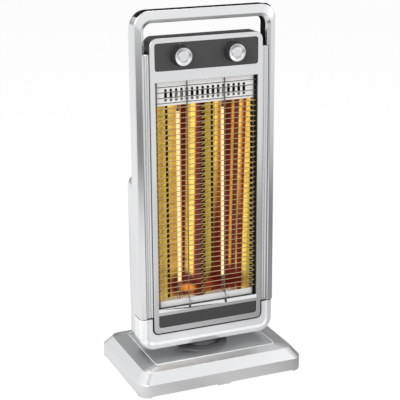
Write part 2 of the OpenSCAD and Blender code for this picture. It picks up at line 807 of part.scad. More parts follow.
// post from the chassis to a back shell, and the hole for its screw
module screw_post(z, y1) for (s = [-1, 1])
    along_y(s * screw_x, chassis_y + sheet_t + seat, z)
        tube(4.5, screw_r + seat, y1 - chassis_y - sheet_t - seat);
module screw_hole(z, y1) for (s = [-1, 1])
    along_y(s * screw_x, y1 - 10, z) cylinder(r = screw_r + seat, h = 20);

screw_x = 88;
low_screw_z = window_z0 + 50;
high_screw_z = window_z1 + 8;

module lower_back() color(silver) {
    difference() {
        lower_form(0, frame_back + seam / 2);
        lower_form(shell_t, frame_back - cut);
        chamber_room();
        translate([0, 0, body_z - cut]) cylinder(r = pivot_r - pivot_t, h = 10);
        // air slots low in the back
        for (i = [-7:7])
            translate([i * 11 - 2, back_y - 6, body_z + 42]) cube([4, 10, 34]);
        screw_hole(low_screw_z, back_y);
    }
    screw_post(low_screw_z, back_y - shell_t + 0.1);
}

module upper_back() color(dark_grey) {
    z0 = back_top - back_r;
    z1 = housing_top - bezel_r - 8;
    flat_y = frame_back + seat;
    difference() {
        union() {
            slab(flat_y, flat_y + flange_t)
                outline(2 * (grip_x + shell_t - seam), z0, shoulder_z - 1, 0, 4);
            slab(flat_y, flat_y + flange_t)
                outline(bezel_w - 2, shoulder_z - 10, housing_top - 1, 0, bezel_r - 1);
            back_form(upper_w - 10, z0, z1, 0, upper_r, flat_y, upper_y, upper_r);
        }
        back_form(upper_w - 10 - 2 * shell_t, z0 - cut, z1 - shell_t, 0, upper_r - shell_t,
            frame_back - cut, upper_y - shell_t, upper_r - shell_t);
        // seated on the lower back
        lower_form(-seam, frame_back - cut);
        // louvres over the heating part and the controls
        louvre_z = back_top + 36;
        for (row = [0:8], col = [-2:2])
            translate([col * 34 - 13, upper_y - 12, louvre_z + row * (high_screw_z - 24 - louvre_z) / 8])
                cube([26, 20, 5]);
        screw_hole(high_screw_z, upper_y);
    }
    screw_post(high_screw_z, upper_y - shell_t + 0.1);
}

module back_screws() color(steel) {
    for (s = [-1, 1]) {
        along_y(s * screw_x, back_y, low_screw_z) cylinder(r = 3.4, h = 1.8);
        along_y(s * screw_x, chassis_y - 3, low_screw_z)
            cylinder(r = screw_r, h = back_y - chassis_y + 3.5);
        along_y(s * screw_x, upper_y, high_screw_z) cylinder(r = 3.4, h = 1.8);
        along_y(s * screw_x, chassis_y - 3, high_screw_z)
            cylinder(r = screw_r, h = upper_y - chassis_y + 3.5);
    }
}

// FRONT

module window(z0, z1, r0, r1, grow) {
    outline(window_w + 2 * grow, z0 - grow, z1 + grow, r0 + (r0 > 0 ? grow : 0), r1 + (r1 > 0 ? grow : 0));
}

module front_bezel() color(silver) difference() {
    union() {
        hull() {
            slab(bezel_y, bezel_y + skin)
                outline(bezel_w - 2 * bezel_edge, bezel_z + bezel_edge, housing_top - bezel_edge,
                    bezel_foot_r - bezel_edge, bezel_r - bezel_edge);
            slab(bezel_y + bezel_edge, bezel_back)
                outline(bezel_w, bezel_z, housing_top, bezel_foot_r, bezel_r);
        }
        // return wall round the edge, full depth beside the handle opening
        slab(bezel_back, grip_y) difference() {
            outline(bezel_w, bezel_z, housing_top - bezel_r, bezel_foot_r, 0);
            outline(bezel_w - 2 * return_t, bezel_z + return_t, housing_top, bezel_foot_r - return_t, 0);
        }
        for (s = [-1, 1])
            translate([s > 0 ? bezel_w / 2 - return_t : -bezel_w / 2, bezel_back, shoulder_z + seam])
                cube([return_t, frame_back - bezel_back, housing_top - bezel_r - shoulder_z - seam]);
    }
    slab(bezel_y - cut, bezel_back + cut) window(panel_z0, panel_z1, panel_r, panel_r, 0);
    slab(bezel_y - cut, bezel_back + cut) window(strip_z0, strip_z1, panel_r, 1, 0);
    // window of the grille, with a sloped sill
    translate([-window_w / 2, 0, 0]) rotate([90, 0, 90]) linear_extrude(window_w) polygon([
        [bezel_y - cut, window_z1], [bezel_y - cut, window_z0 - sill_h / 2],
        [bezel_y, window_z0 - sill_h / 2], [bezel_back, window_z0],
        [bezel_back + cut, window_z0], [bezel_back + cut, window_z1]
    ]);
    // notches that the inner uprights hook into
    for (x = [-upright_x, upright_x])
        translate([x - upright_r - 1, bezel_y - cut, window_z0 - sill_h / 2 + seam])
            cube([2 * (upright_r + 1), bezel_t + 2 * cut, sill_h]);
}

module top_cover() color(dark_grey) difference() {
    slab(bezel_back + seat, frame_back) intersection() {
        outline(bezel_w, shoulder_z, housing_top, 0, bezel_r);
        difference() {
            translate([-bezel_w / 2, housing_top - bezel_r + seat]) square([bezel_w, bezel_r]);
            outline(bezel_w - 2 * return_t, shoulder_z - cut, housing_top - return_t, 0,
                bezel_r - return_t);
        }
    }
    // seam across the top
    translate([-bezel_w, grip_y, housing_top - 0.6]) cube([2 * bezel_w, 0.8, 2]);
}

module control_panel() color(dark_grey) difference() {
    union() {
        slab(panel_face, bezel_back + seat) window(panel_z0, panel_z1, panel_r, panel_r, -seat);
        slab(bezel_back + seat, panel_back) window(panel_z0, panel_z1, panel_r, panel_r, 2);
    }
    for (s = [-1, 1])
        along_y(s * knob_gap / 2, panel_face - cut, knob_z) cylinder(r = neck_hole_r, h = 10);
}

module lower_strip() color(dark_grey) {
    slab(panel_face, bezel_back + seat) window(strip_z0, strip_z1, panel_r, 1, -seat);
    slab(bezel_back + seat, panel_back) window(strip_z0, strip_z1, panel_r, 1, 2);
}

module window_liner() color(black) difference() {
    slab(bezel_back + seat, liner_y) difference() {
        window(window_z0, window_z1, 0, 0, liner_t + seam);
        window(window_z0, window_z1, 0, 0, seam);
    }
    // notches that the uprights end in
    for (x = upright_places())
        translate([x - upright_r - seam, bezel_back, window_z1 - cut])
            cube([2 * (upright_r + seam), upright_y + upright_r + seam - bezel_back, liner_t + seam + 2 * cut]);
}

// GUARD

function upright_places() = [-side_x, -upright_x, upright_x, side_x];
side_x = window_w / 2 - 5;
bend = 3;
wire_end = window_w / 2 - wire_r - 0.4;
wire_path = [
    [-wire_end, liner_y - 0.6],
    for (a = [0, 45, 90]) [-wire_end + bend - bend * cos(a), wire_y + bend - bend * sin(a)],
    for (a = [90, 45, 0]) [wire_end - bend + bend * cos(a), wire_y + bend - bend * sin(a)],
    [wire_end, liner_y - 0.6]
];
// the lowest wire stands two pitches up, level with the top of the lip behind it
wire_pitch = (window_z1 - window_z0) / (wire_n + 2);
module guard_wires() color(steel)
    wires([
        for (j = [1:wire_n], i = [0:len(wire_path) - 1]) each
            [for (p = ring(wire_path, i, wire_r)) [p[0], p[1], p[2] + window_z0 + (j + 1) * wire_pitch]]
    ], len(wire_path), wire_n);

// Uprights in Y and Z, welded behind the wires. They tuck behind the bezel above; the inner two
// come forward under the lowest wire and hook over the sill.
hook_y = bezel_y - 0.2;
sill_z = window_z0 - sill_h / 2 + upright_r;
upright_top = [
    [upright_y, window_z1 + 5], [upright_y, window_z1 - 1], [upright_y, window_z0 + 18]
];
hook_path = concat(upright_top, [
    [upright_y - 0.8, window_z0 + 13], [hook_y, window_z0 + 3], [hook_y, sill_z + 2.6],
    [hook_y + 1.8, sill_z + 0.9], [bezel_back + 2, sill_z + 0.6]
]);
plain_path = concat(upright_top, [for (z = [13, 9, 5, 3, 0.2]) [upright_y, window_z0 + z]]);
module guard_uprights() color(steel)
    wires([
        for (x = upright_places()) let (path = abs(x) == side_x ? plain_path : hook_path)
            for (i = [0:len(path) - 1]) each [for (p = ring(path, i, upright_r)) [x - p[2], p[0], p[1]]]
    ], len(hook_path), 4);

// HEATING PART

// Front face of the folded reflector, left to right: two troughs and a ridge between them
folds = 6;
function fold_y(x) =
    let (d = abs(x) - tube_x)
        trough_y - (d < 0 ? (trough_y + ridge_y) * pow(d / tube_x, 2)
            : (trough_y - wing_y) * pow(d / (half_sheet - tube_x), 2));
fold_x = concat(
    [for (i = [0:folds]) tube_x * i / folds],
    [for (i = [1:folds]) tube_x + (half_sheet - tube_x) * i / folds]
);
half_fold = [for (x = fold_x) [x, fold_y(x)]];
module reflector() color([0.95, 0.8, 0.45])
    translate([0, 0, shelf_z + sheet_t + seat]) linear_extrude(chamber_z1 - shelf_z - sheet_t - 2 * seat)
        polygon(concat(
            [for (i = [len(half_fold) - 1:-1:1]) [-half_fold[i][0], half_fold[i][1]]],
            half_fold,
            [for (i = [len(half_fold) - 1:-1:0]) [half_fold[i][0], half_fold[i][1] + sheet_t]],
            [for (i = [1:len(half_fold) - 1]) [-half_fold[i][0], half_fold[i][1] + sheet_t]]
        ));

shelf_back = chassis_y - seat;
fold_in = 1.2; // step of the slotted plate's upper edge
module sheet_x(points) {
    // a folded sheet drawn in Y and Z, stretched along X
    translate([-half_sheet, 0, 0]) rotate([90, 0, 90]) linear_extrude(2 * half_sheet) polygon(points);
}

module slotted_plate() color(pale_silver) difference() {
    sheet_x([
        [plate_y, chamber_z1], [shelf_back, chamber_z1], [shelf_back, chamber_z1 + sheet_t],
        [plate_y + sheet_t, chamber_z1 + sheet_t], [plate_y + sheet_t, window_z1 - 8],
        [plate_y + sheet_t - fold_in, window_z1 - 5], [plate_y + sheet_t - fold_in, window_z1 + lap],
        [plate_y - fold_in, window_z1 + lap], [plate_y - fold_in, window_z1 - 5.3],
        [plate_y, window_z1 - 8.3]
    ]);
    z = chamber_z1 + 19;
    for (i = [0:slot_n - 1]) translate([(i - (slot_n - 1) / 2) * slot_pitch, 0, z]) {
        translate([-slot_w / 2, plate_y - cut, -5]) cube([slot_w, 3, 10]);
        for (s = [-1, 1]) along_y(0, plate_y - cut, s * (6.2 + slot_w / 2)) cylinder(r = slot_w / 2, h = 3);
    }
    for (s = [-1, 1]) translate([s * tube_x, -tube_y, chamber_z1 - cut]) cylinder(r = tube_r + 1, h = 4);
}

module floor_plate() color(pale_silver) difference() {
    sheet_x([
        [plate_y, shelf_z], [shelf_back, shelf_z], [shelf_back, shelf_z + sheet_t],
        [plate_y + sheet_t, shelf_z + sheet_t], [plate_y + sheet_t, chamber_z0], [plate_y, chamber_z0]
    ]);
    for (s = [-1, 1]) translate([s * tube_x, -tube_y, shelf_z - cut]) cylinder(r = tube_r + 1, h = 4);
}

tube_z0 = shelf_z - 8;
tube_z1 = chamber_z1 + sheet_t + 8;
module quartz(s) translate([s * tube_x, -tube_y, tube_z0]) tube(tube_r, tube_r - tube_t, tube_z1 - tube_z0);
module tube_left() color([0.9, 0.9, 0.95, 0.4]) quartz(-1);
module tube_right() color([0.9, 0.9, 0.95, 0.4]) quartz(1);

glow_z0 = chamber_z0 + 26;
glow_z1 = chamber_z1 - 17;
lead_r = 0.8;
module carbon_strip(s) translate([s * tube_x, -tube_y, 0]) {
    translate([-strip_w / 2, -strip_t / 2, glow_z0]) cube([strip_w, strip_t, glow_z1 - glow_z0]);
    // crimps and leads at both ends
    for (z = [glow_z0 - 5, glow_z1 - 1]) translate([-2, -1.2, z]) cube([4, 2.4, 6]);
    translate([0, 0, tube_z0 + seat]) cylinder(r = lead_r, h = glow_z0 - 4 - tube_z0);
    translate([0, 0, glow_z1 + 4]) cylinder(r = lead_r, h = tube_z1 - glow_z1 - 4 - seat);
}
module carbon_strip_left() color([1, 0.75, 0.35]) carbon_strip(-1);
module carbon_strip_right() color([1, 0.75, 0.35]) carbon_strip(1);

module tube_caps() color(ceramic_white)
    for (s = [-1, 1], end = [0, 1]) translate([s * tube_x, -tube_y, end ? tube_z1 - 7 : tube_z0 + 7 - cap_h])
        difference() {
            cylinder(r = cap_r, h = cap_h);
            translate([0, 0, end ? -cut : cap_h - 7]) cylinder(r = tube_r + 0.1, h = 7 + cut);
            translate([0, 0, -cut]) cylinder(r = 2, h = cap_h + 2 * cut);
        }

module tube_clips() color(steel)
    for (s = [-1, 1], end = [0, 1]) {
        z = end ? tube_z1 - 7 + cap_h / 2 : tube_z0 + 7 - cap_h / 2;
        translate([s * tube_x, -tube_y, z - 3]) {
            tube(cap_r + 0.1 + sheet_t, cap_r + 0.1, 6);
            translate([-4, cap_r + 0.5, 0]) cube([8, shelf_back + tube_y - cap_r - 0.5 - seat, sheet_t]);
            translate([-4, shelf_back + tube_y - seat - sheet_t, 0]) cube([8, sheet_t, 6]);
        }
    }

module chassis() color(steel) difference() {
    z0 = window_z0 - 8 - cap_h;
    z1 = window_z1 + 14;
    union() {
        translate([-chassis_x, chassis_y, z0]) cube([2 * chassis_x, sheet_t, z1 - z0]);
        for (s = [-1, 1])
            translate([s > 0 ? chassis_x - sheet_t : -chassis_x, liner_y + seat, z0])
                cube([sheet_t, chassis_y - liner_y, z1 - z0]);
    }
    for (s = [-1, 1], z = [low_screw_z, high_screw_z])
        along_y(s * screw_x, chassis_y - cut, z) cylinder(r = screw_r + 0.1, h = 4);
    for (row = [0:9], col = [-2:2])
        translate([col * 34 - 11, chassis_y - cut, chamber_z0 + 22 + row * 34]) cube([22, 4, 5]);
}

module thermal_cutout() color(black) {
    along_y(0, chassis_y + sheet_t + seat, cutout_z) cylinder(r = 8, h = 5);
    for (s = [-1, 1])
        translate([s * 4 - 1.5, chassis_y + sheet_t + 5, cutout_z - 0.4]) cube([3, 4, 0.8]);
}
cutout_z = window_z1 - 24;

module terminal_block() color(ceramic_white) difference() {
    translate([-70, frame_back + 4, body_z + shell_t + seat]) cube([48, 14, 13]);
    for (i = [0:3])
        translate([-64 + i * 12, frame_back + 11, body_z + shell_t + 6]) cylinder(r = 2.4, h = 20);
}

// CONTROLS

knob_z = (panel_z0 + panel_z1) / 2 + 1;
neck_hole_r = 6;
ring_h = 2.6;
knob_back = panel_face - ring_h - run;
shaft_in = 10;
unit_y = panel_back + seat;

module knob_rings() color(black)
    for (s = [-1, 1])
        along_y(s * knob_gap / 2, panel_face - seat - ring_h, knob_z) difference() {
            cylinder(r1 = knob_r + 1.2, r2 = knob_r + 2.4, h = ring_h);
            translate([0, 0, -cut]) cylinder(r = neck_hole_r + 2, h = ring_h + 2 * cut);
        }

// switch body, with a threaded neck and nut through the panel
module control_unit(x) difference() {
    union() {
        translate([x - switch_w / 2, unit_y, knob_z - switch_w / 2]) cube([switch_w, switch_d, switch_w]);
        // tabs for the wires
        for (i = [-1:1])
            translate([x + i * 10 - 2.4, unit_y + switch_d, knob_z - 0.4]) cube([4.8, 7, 0.8]);
        along_y(x, panel_face - 2, knob_z) cylinder(r = neck_hole_r - seat, h = unit_y - panel_face + 3);
    }
    along_y(x, panel_face - 3, knob_z) cylinder(r = shaft_r + shaft_gap, h = unit_y - panel_face + 3 + shaft_in + run);
}
module selector_switch() color([0.85, 0.83, 0.76]) control_unit(-knob_gap / 2);
module swing_switch() color([0.85, 0.83, 0.76]) control_unit(knob_gap / 2);

module control_shaft(x) along_y(x, knob_back - knob_l + 6, knob_z)
    cylinder(r = shaft_r, h = unit_y + shaft_in - knob_back + knob_l - 6);
module selector_shaft() color(steel) control_shaft(-knob_gap / 2);
module swing_shaft() color(steel) control_shaft(knob_gap / 2);

cap_in = 5;
module knob(x) along_y(x, knob_back - knob_l, knob_z) difference() {
    rotate_extrude() polygon([
        [0, 1], [knob_r - cap_in, 1], [knob_r - cap_in + 0.4, 0], [knob_r - 1.6, 0], [knob_r - 0.5, 0.5],
        [knob_r, 1.6], [knob_r - 0.9, knob_l], [knob_r - 3.4, knob_l], [knob_r - 3.4, 7], [8, 7],
        [7, knob_l], [0, knob_l]
    ]);
    translate([0, 0, 5.5]) cylinder(r = shaft_r + 0.03, h = knob_l);
    // pointer mark across the rim, towards the top at rest
    translate([-0.6, -knob_r - cut, -cut]) cube([1.2, cap_in, 1.6]);
}
module selector_knob() color(silver) knob(-knob_gap / 2);
module swing_knob() color(silver) knob(knob_gap / 2);

module knob_cap(x) along_y(x, knob_back - knob_l + 0.1, knob_z)
    cylinder(r = knob_r - cap_in - 0.15, h = 0.9);
module selector_cap() color(pale_silver) knob_cap(-knob_gap / 2);
module swing_cap() color(pale_silver) knob_cap(knob_gap / 2);

base_cover();
base_plate();
rubber_feet();
base_screws();
thrust_ring();
cord_gland();
swivel_motor();
motor_pinion();
tip_switch_case();
tip_plunger();
tip_spring();
swivel_neck();
sector_gear();
pivot_clip();
bottom_cup();
foot_seal();
handle_frame();
handle_grip();
leg_backs();
side_trim_left();
side_trim_right();
front_bezel();
top_cover();
lower_back();
upper_back();
back_screws();
control_panel();
lower_strip();
window_liner();
knob_rings();
guard_wires();
guard_uprights();
reflector();
slotted_plate();
floor_plate();
tube_left();
tube_right();
carbon_strip_left();
carbon_strip_right();
tube_caps();
tube_clips();
chassis();
thermal_cutout();
terminal_block();
selector_switch();
swing_switch();
selector_knob();
selector_cap();
selector_shaft();
swing_knob();
swing_cap();
swing_shaft();
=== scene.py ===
import json
from math import cos, pi, radians, sin
import bpy
from mathutils import Matrix, Vector

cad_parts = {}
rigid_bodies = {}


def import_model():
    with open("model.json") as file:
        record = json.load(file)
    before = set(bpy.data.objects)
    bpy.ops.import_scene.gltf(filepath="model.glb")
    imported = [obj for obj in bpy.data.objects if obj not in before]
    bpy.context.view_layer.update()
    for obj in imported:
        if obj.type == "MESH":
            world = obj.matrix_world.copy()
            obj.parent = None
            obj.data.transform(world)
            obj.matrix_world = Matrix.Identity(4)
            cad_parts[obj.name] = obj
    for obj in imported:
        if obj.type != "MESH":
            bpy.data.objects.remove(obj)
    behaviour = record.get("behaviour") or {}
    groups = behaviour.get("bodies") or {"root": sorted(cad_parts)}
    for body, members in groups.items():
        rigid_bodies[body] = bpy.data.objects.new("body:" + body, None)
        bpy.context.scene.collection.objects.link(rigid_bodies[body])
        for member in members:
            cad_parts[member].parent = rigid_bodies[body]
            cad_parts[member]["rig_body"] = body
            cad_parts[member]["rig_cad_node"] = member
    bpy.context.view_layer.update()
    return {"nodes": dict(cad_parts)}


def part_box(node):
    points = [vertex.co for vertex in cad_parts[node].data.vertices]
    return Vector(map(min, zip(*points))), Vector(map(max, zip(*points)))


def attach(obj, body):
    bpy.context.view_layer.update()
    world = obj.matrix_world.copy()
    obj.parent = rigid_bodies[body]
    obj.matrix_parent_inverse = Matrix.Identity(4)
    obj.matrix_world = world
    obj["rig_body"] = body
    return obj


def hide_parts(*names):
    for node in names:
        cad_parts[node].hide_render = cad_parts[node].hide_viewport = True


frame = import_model()
cad = frame["nodes"]

# CAMERA
# A long lens stands two metres off, to the left of the heater and above its top,
# and looks down on it as the photograph does.
camera_place = (-0.8245, -1.9686, 0.9849)
camera_turn, camera_droop, camera_roll = -22.77, 17.02, -0.39
camera_data = bpy.data.cameras.new("camera")
camera_data.sensor_width = 36.0
camera_data.lens = 106.14
camera_data.clip_end = 40.0
camera = bpy.data.objects.new("camera", camera_data)
bpy.context.scene.collection.objects.link(camera)
camera.matrix_world = (
    Matrix.Translation(camera_place)
    @ Matrix.Rotation(radians(camera_turn), 4, "Z")
    @ Matrix.Rotation(radians(90 - camera_droop), 4, "X")
    @ Matrix.Rotation(radians(camera_roll), 4, "Z")
)
bpy.context.scene.camera = camera
bpy.context.scene.view_settings.view_transform = "Standard"

# FLOOR
# One sheet of white studio paper under and behind the heater. The camera sees it white with a
# faint shadow; bright surfaces mirror it pale, with darker and lighter places.
paper_size, paper_drop = 36.0, 0.0004
bpy.ops.object.select_all(action="DESELECT")
bpy.ops.mesh.primitive_plane_add(size=paper_size, location=(0, 0, -paper_drop))
floor = bpy.context.active_object
floor.name = "studio_paper"


def finish_step(tree, kind, inputs=(), **settings):
    # one node of a finish: a socket is linked to its input, and any other value is set there
    step = tree.nodes.new("ShaderNode" + kind)
    for name, value in settings.items():
        setattr(step, name, value)
    for name, value in dict(inputs).items():
        if isinstance(value, bpy.types.NodeSocket):
            tree.links.new(value, step.inputs[name])
        else:
            step.inputs[name].default_value = value
    return step


def finish_sum(tree, operation, *values):
    return finish_step(tree, "Math", enumerate(values), operation=operation).outputs[0]


def finish_fade(tree, value, near, far, inner=0.0, outer=1.0, curve="LINEAR"):
    # runs from inner to outer while the value runs from near to far
    span = {"Value": value, "From Min": near, "From Max": far, "To Min": inner, "To Max": outer}
    return finish_step(tree, "MapRange", span, interpolation_type=curve).outputs[0]


def colour_over(tree, share, below, above, blend="MIX"):
    # lays one colour over another, by a share from 0 to 1
    layers = {0: share, 6: below, 7: above}
    return finish_step(tree, "Mix", layers, data_type="RGBA", blend_type=blend).outputs[2]


def far_from(tree, where, middle):
    # the distance of a place from a middle
    ends = {0: where, 1: middle}
    return finish_step(tree, "VectorMath", ends, operation="DISTANCE").outputs["Value"]


def ray_kinds(tree):
    # the kinds of ray, and 1 for those that the camera sends, also by way of a mirror or glass
    rays = finish_step(tree, "LightPath").outputs
    mirrored = finish_sum(tree, "MAXIMUM", rays["Is Glossy Ray"], rays["Is Transmission Ray"])
    return rays, finish_sum(tree, "MAXIMUM", rays["Is Camera Ray"], mirrored)


paper = bpy.data.materials.new("studio paper")
paper.use_nodes = True
tree = paper.node_tree
tree.nodes.clear()
paper_rays, paper_seen = ray_kinds(tree)
paper_place = finish_step(tree, "TexCoord").outputs["Object"]
paper_mirrored = 1.08
# middle, radius inside and outside, and how much brighter or darker the paper is mirrored there
for middle, near, far, level in (
    ((-0.9, -2.4, 0), 0.95, 1.55, 0.0),
    ((0.25, -0.05, 0), 0.2, 0.66, 0.36),
    ((0.85, -0.66, 0), 0.15, 1.0, 0.1),
    ((0.6, 0.75, 0), 0.4, 1.1, 0.3),
    ((1.7, -1.5, 0), 0.45, 0.9, 0.7),
    ((0.06, -0.16, 0), 0.03, 0.14, 1.65),
    ((-0.3, 0, 0), 0.1, 0.3, 1.25),
):
    gap = far_from(tree, paper_place, middle)
    patch = finish_fade(tree, gap, near, far, level, 1.0, "SMOOTHSTEP")
    paper_mirrored = finish_sum(tree, "MULTIPLY", patch, paper_mirrored)
paper_strength = finish_step(
    tree, "Mix", {0: paper_rays["Is Glossy Ray"], 2: 0.9, 3: paper_mirrored}).outputs[0]
paper_white = finish_step(tree, "Emission", {"Strength": paper_strength}).outputs[0]
paper_shade = finish_step(tree, "BsdfDiffuse", {"Color": (0.2, 0.2, 0.2, 1)}).outputs[0]
paper_lit = finish_step(tree, "BsdfDiffuse", {"Color": (0.8, 0.8, 0.8, 1)}).outputs[0]
paper_shown = finish_step(tree, "AddShader", {0: paper_shade, 1: paper_white}).outputs[0]
paper_mix = finish_step(tree, "MixShader", {0: paper_seen, 1: paper_lit, 2: paper_shown}).outputs[0]
finish_step(tree, "OutputMaterial", {"Surface": paper_mix})
floor.data.materials.append(paper)

# STUDIO LIGHT
# A large soft box in front and to the left, a weaker one to the right, one overhead and an even
# white room round them, which the camera sees as pure white.
world = bpy.data.worlds.new("white room")
bpy.context.scene.world = world
world.use_nodes = True
tree = world.node_tree
tree.nodes.clear()
room_rays, room_seen = ray_kinds(tree)
room_way = finish_step(tree, "TexCoord").outputs["Generated"]
# bright surfaces mirror the room bright at the upper left in front, and dim at the other side
bright_way = (-0.6, -0.6, 0.8)
room_side = finish_step(tree, "VectorMath", {
    0: room_way, 1: bright_way}, operation="DOT_PRODUCT").outputs["Value"]
room_mirrored = finish_fade(tree, room_side, -0.5, 0.0, 0.208, 1.28, "SMOOTHSTEP")
# two round dark cards, which only bright surfaces show: direction, radii and level
for way, near, far, level in (
    ((-0.262, -0.315, 0.912), 0.1, 0.22, 0.0),
    ((0.68, -0.28, 0.68), 0.16, 0.36, 0.3),
):
    card = finish_fade(tree, far_from(tree, room_way, way), near, far, level, 1.0, "SMOOTHSTEP")
    room_mirrored = finish_sum(tree, "MULTIPLY", room_mirrored, card)
room_level = finish_fade(tree, room_seen, 0.0, 1.0, 0.336, 1.0)
room_sky = finish_step(
    tree, "Mix", {0: room_rays["Is Glossy Ray"], 2: room_level, 3: room_mirrored}).outputs[0]
room_light = finish_step(
    tree, "Background", {"Color": (1, 1, 1, 1), "Strength": room_sky}).outputs[0]
finish_step(tree, "OutputWorld", {"Surface": room_light})


def soft_box(name, place, aim, width, height, power):
    data = bpy.data.lights.new(name, "AREA")
    data.shape = "RECTANGLE"
    data.size, data.size_y = width, height
    data.energy = power
    lamp = bpy.data.objects.new(name, data)
    bpy.context.scene.collection.objects.link(lamp)
    lamp.location = place
    lamp.rotation_euler = (Vector(aim) - Vector(place)).to_track_quat("-Z", "Y").to_euler()


soft_box("left_box", (-1.9, -1.7, 1.7), aim=(0, 0, 0.32), width=1.4, height=1.4, power=40)
soft_box("right_box", (2.0, -1.4, 1.3), aim=(0, 0, 0.35), width=1.0, height=1.2, power=10)
soft_box("top_box", (0.1, 0.2, 2.4), aim=(0, 0, 0.3), width=1.6, height=1.2, power=14)

# BASE COVER
# The broad foot is one injection-moulded shell with a bevelled rim and a sunk rectangular
# recess. It is painted a satin metallic silver with a fine sparkle.


def grain_group():
    # a fine grain that mixes two colours, and broad patches that vary the roughness
    group = bpy.data.node_groups.new("moulded grain", "ShaderNodeTree")
    for name, kind, way in (
        ("Colour", "Color", "INPUT"), ("Second Colour", "Color", "INPUT"),
        ("Roughness", "Float", "INPUT"), ("Grain Scale", "Float", "INPUT"),
        ("Colour", "Color", "OUTPUT"), ("Roughness", "Float", "OUTPUT"),
        ("Height", "Float", "OUTPUT"),
    ):
        group.interface.new_socket(name, in_out=way, socket_type="NodeSocket" + kind)
    taken = group.nodes.new("NodeGroupInput").outputs
    given = group.nodes.new("NodeGroupOutput").inputs
    where = finish_step(group, "TexCoord").outputs["Object"]
    grain = finish_step(group, "TexNoise", {
        "Vector": where, "Scale": taken["Grain Scale"], "Detail": 2.0}).outputs[0]
    patch = finish_step(group, "TexNoise", {
        "Vector": where, "Scale": 11.0, "Detail": 4.0}).outputs[0]
    speck = colour_over(group, finish_sum(group, "MULTIPLY", grain, patch),
                        taken["Colour"], taken["Second Colour"])
    sway = finish_sum(group, "SUBTRACT", patch, 0.5)
    rough = finish_sum(group, "MULTIPLY_ADD", sway, 0.06, taken["Roughness"])
    for name, value in (("Colour", speck), ("Roughness", rough), ("Height", grain)):
        group.links.new(value, given[name])
    return group


moulded_grain = grain_group()


def moulded_finish(name, colour, second, rough, metallic=0.0, coat=0.0, scale=1500.0,
                   depth=0.00001, soft_edge=0.0006, shine=0.5):
    finish = bpy.data.materials.new(name)
    finish.use_nodes = True
    tree = finish.node_tree
    grain = finish_step(tree, "Group", node_tree=moulded_grain)
    for socket, value in (("Colour", (*colour, 1)), ("Second Colour", (*second, 1)),
                          ("Roughness", rough), ("Grain Scale", scale)):
        grain.inputs[socket].default_value = value
    edge = finish_step(tree, "Bevel", {"Radius": soft_edge}, samples=6)
    relief = finish_step(tree, "Bump", {
        "Strength": 0.6, "Distance": depth, "Height": grain.outputs["Height"],
        "Normal": edge.outputs["Normal"]})
    surface = tree.nodes["Principled BSDF"]
    for socket, value in (("Metallic", metallic), ("Coat Weight", coat), ("Coat Roughness", 0.12),
                          ("Specular IOR Level", shine)):
        surface.inputs[socket].default_value = value
    tree.links.new(relief.outputs["Normal"], surface.inputs["Normal"])
    tree.links.new(grain.outputs["Colour"], surface.inputs["Base Color"])
    tree.links.new(grain.outputs["Roughness"], surface.inputs["Roughness"])
    return finish


def paint(finish, *names):
    for name in names:
        piece = cad[name]
        piece.data.materials.clear()
        piece.data.materials.append(finish)


def paint_faces(shell, finish, wanted):
    # a second finish, on the wanted faces alone
    shell.data.materials.append(finish)
    for face in shell.data.polygons:
        if wanted(face):
            face.material_index = len(shell.data.materials) - 1


def pick(piece):
    bpy.ops.object.select_all(action="DESELECT")
    piece.select_set(True)
    bpy.context.view_layer.objects.active = piece


def round_edges(piece, width, sharp, measured="OFFSET"):
    # rounds each edge that turns by more than sharp degrees
    rounding = piece.modifiers.new("rounding", "BEVEL")
    rounding.width = width
    rounding.segments = 3
    rounding.limit_method = "ANGLE"
    rounding.angle_limit = radians(sharp)
    rounding.offset_type = measured
    return rounding


def softened(name, finish, width, sharp=24, measured="OFFSET"):
    # the moulding with its sharp edges rounded, as they come from the tool
    node = cad[name]
    shell = node.copy()
    shell.data = node.data.copy()
    shell.parent = None
    shell.name = name + "_moulding"
    del shell["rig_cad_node"]
    bpy.context.scene.collection.objects.link(shell)
    pick(shell)
    bpy.ops.mesh.customdata_custom_splitnormals_clear()
    bpy.ops.object.mode_set(mode="EDIT")
    bpy.ops.mesh.select_all(action="SELECT")
    bpy.ops.mesh.remove_doubles(threshold=0.00002)
    bpy.ops.mesh.dissolve_limited(angle_limit=radians(0.6))
    bpy.ops.object.mode_set(mode="OBJECT")
    round_edges(shell, width, sharp, measured).use_clamp_overlap = False
    bpy.ops.object.modifier_apply(modifier="rounding")
    # a point that the rounding throws past the moulding's box comes back to it
    low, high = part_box(name)
    for corner in shell.data.vertices:
        corner.co = [min(max(at, least), most) for at, least, most in zip(corner.co, low, high)]
    bpy.ops.object.shade_smooth_by_angle(angle=radians(35))
    level = shell.modifiers.new("flat faces stay flat", "WEIGHTED_NORMAL")
    level.keep_sharp = True
    bpy.ops.object.modifier_apply(modifier="flat faces stay flat")
    shell.data.materials.clear()
    shell.data.materials.append(finish)
    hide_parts(name)
    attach(shell, node["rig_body"])
    return shell


silver_paint = moulded_finish("satin silver paint", (0.6, 0.605, 0.61), (0.68, 0.685, 0.69),
                              rough=0.2, metallic=0.95, depth=0.0000012)
base_paint = moulded_finish("satin silver base paint", (0.62, 0.625, 0.63), (0.7, 0.705, 0.71),
                            rough=0.32, metallic=0.95, depth=0.0000016)

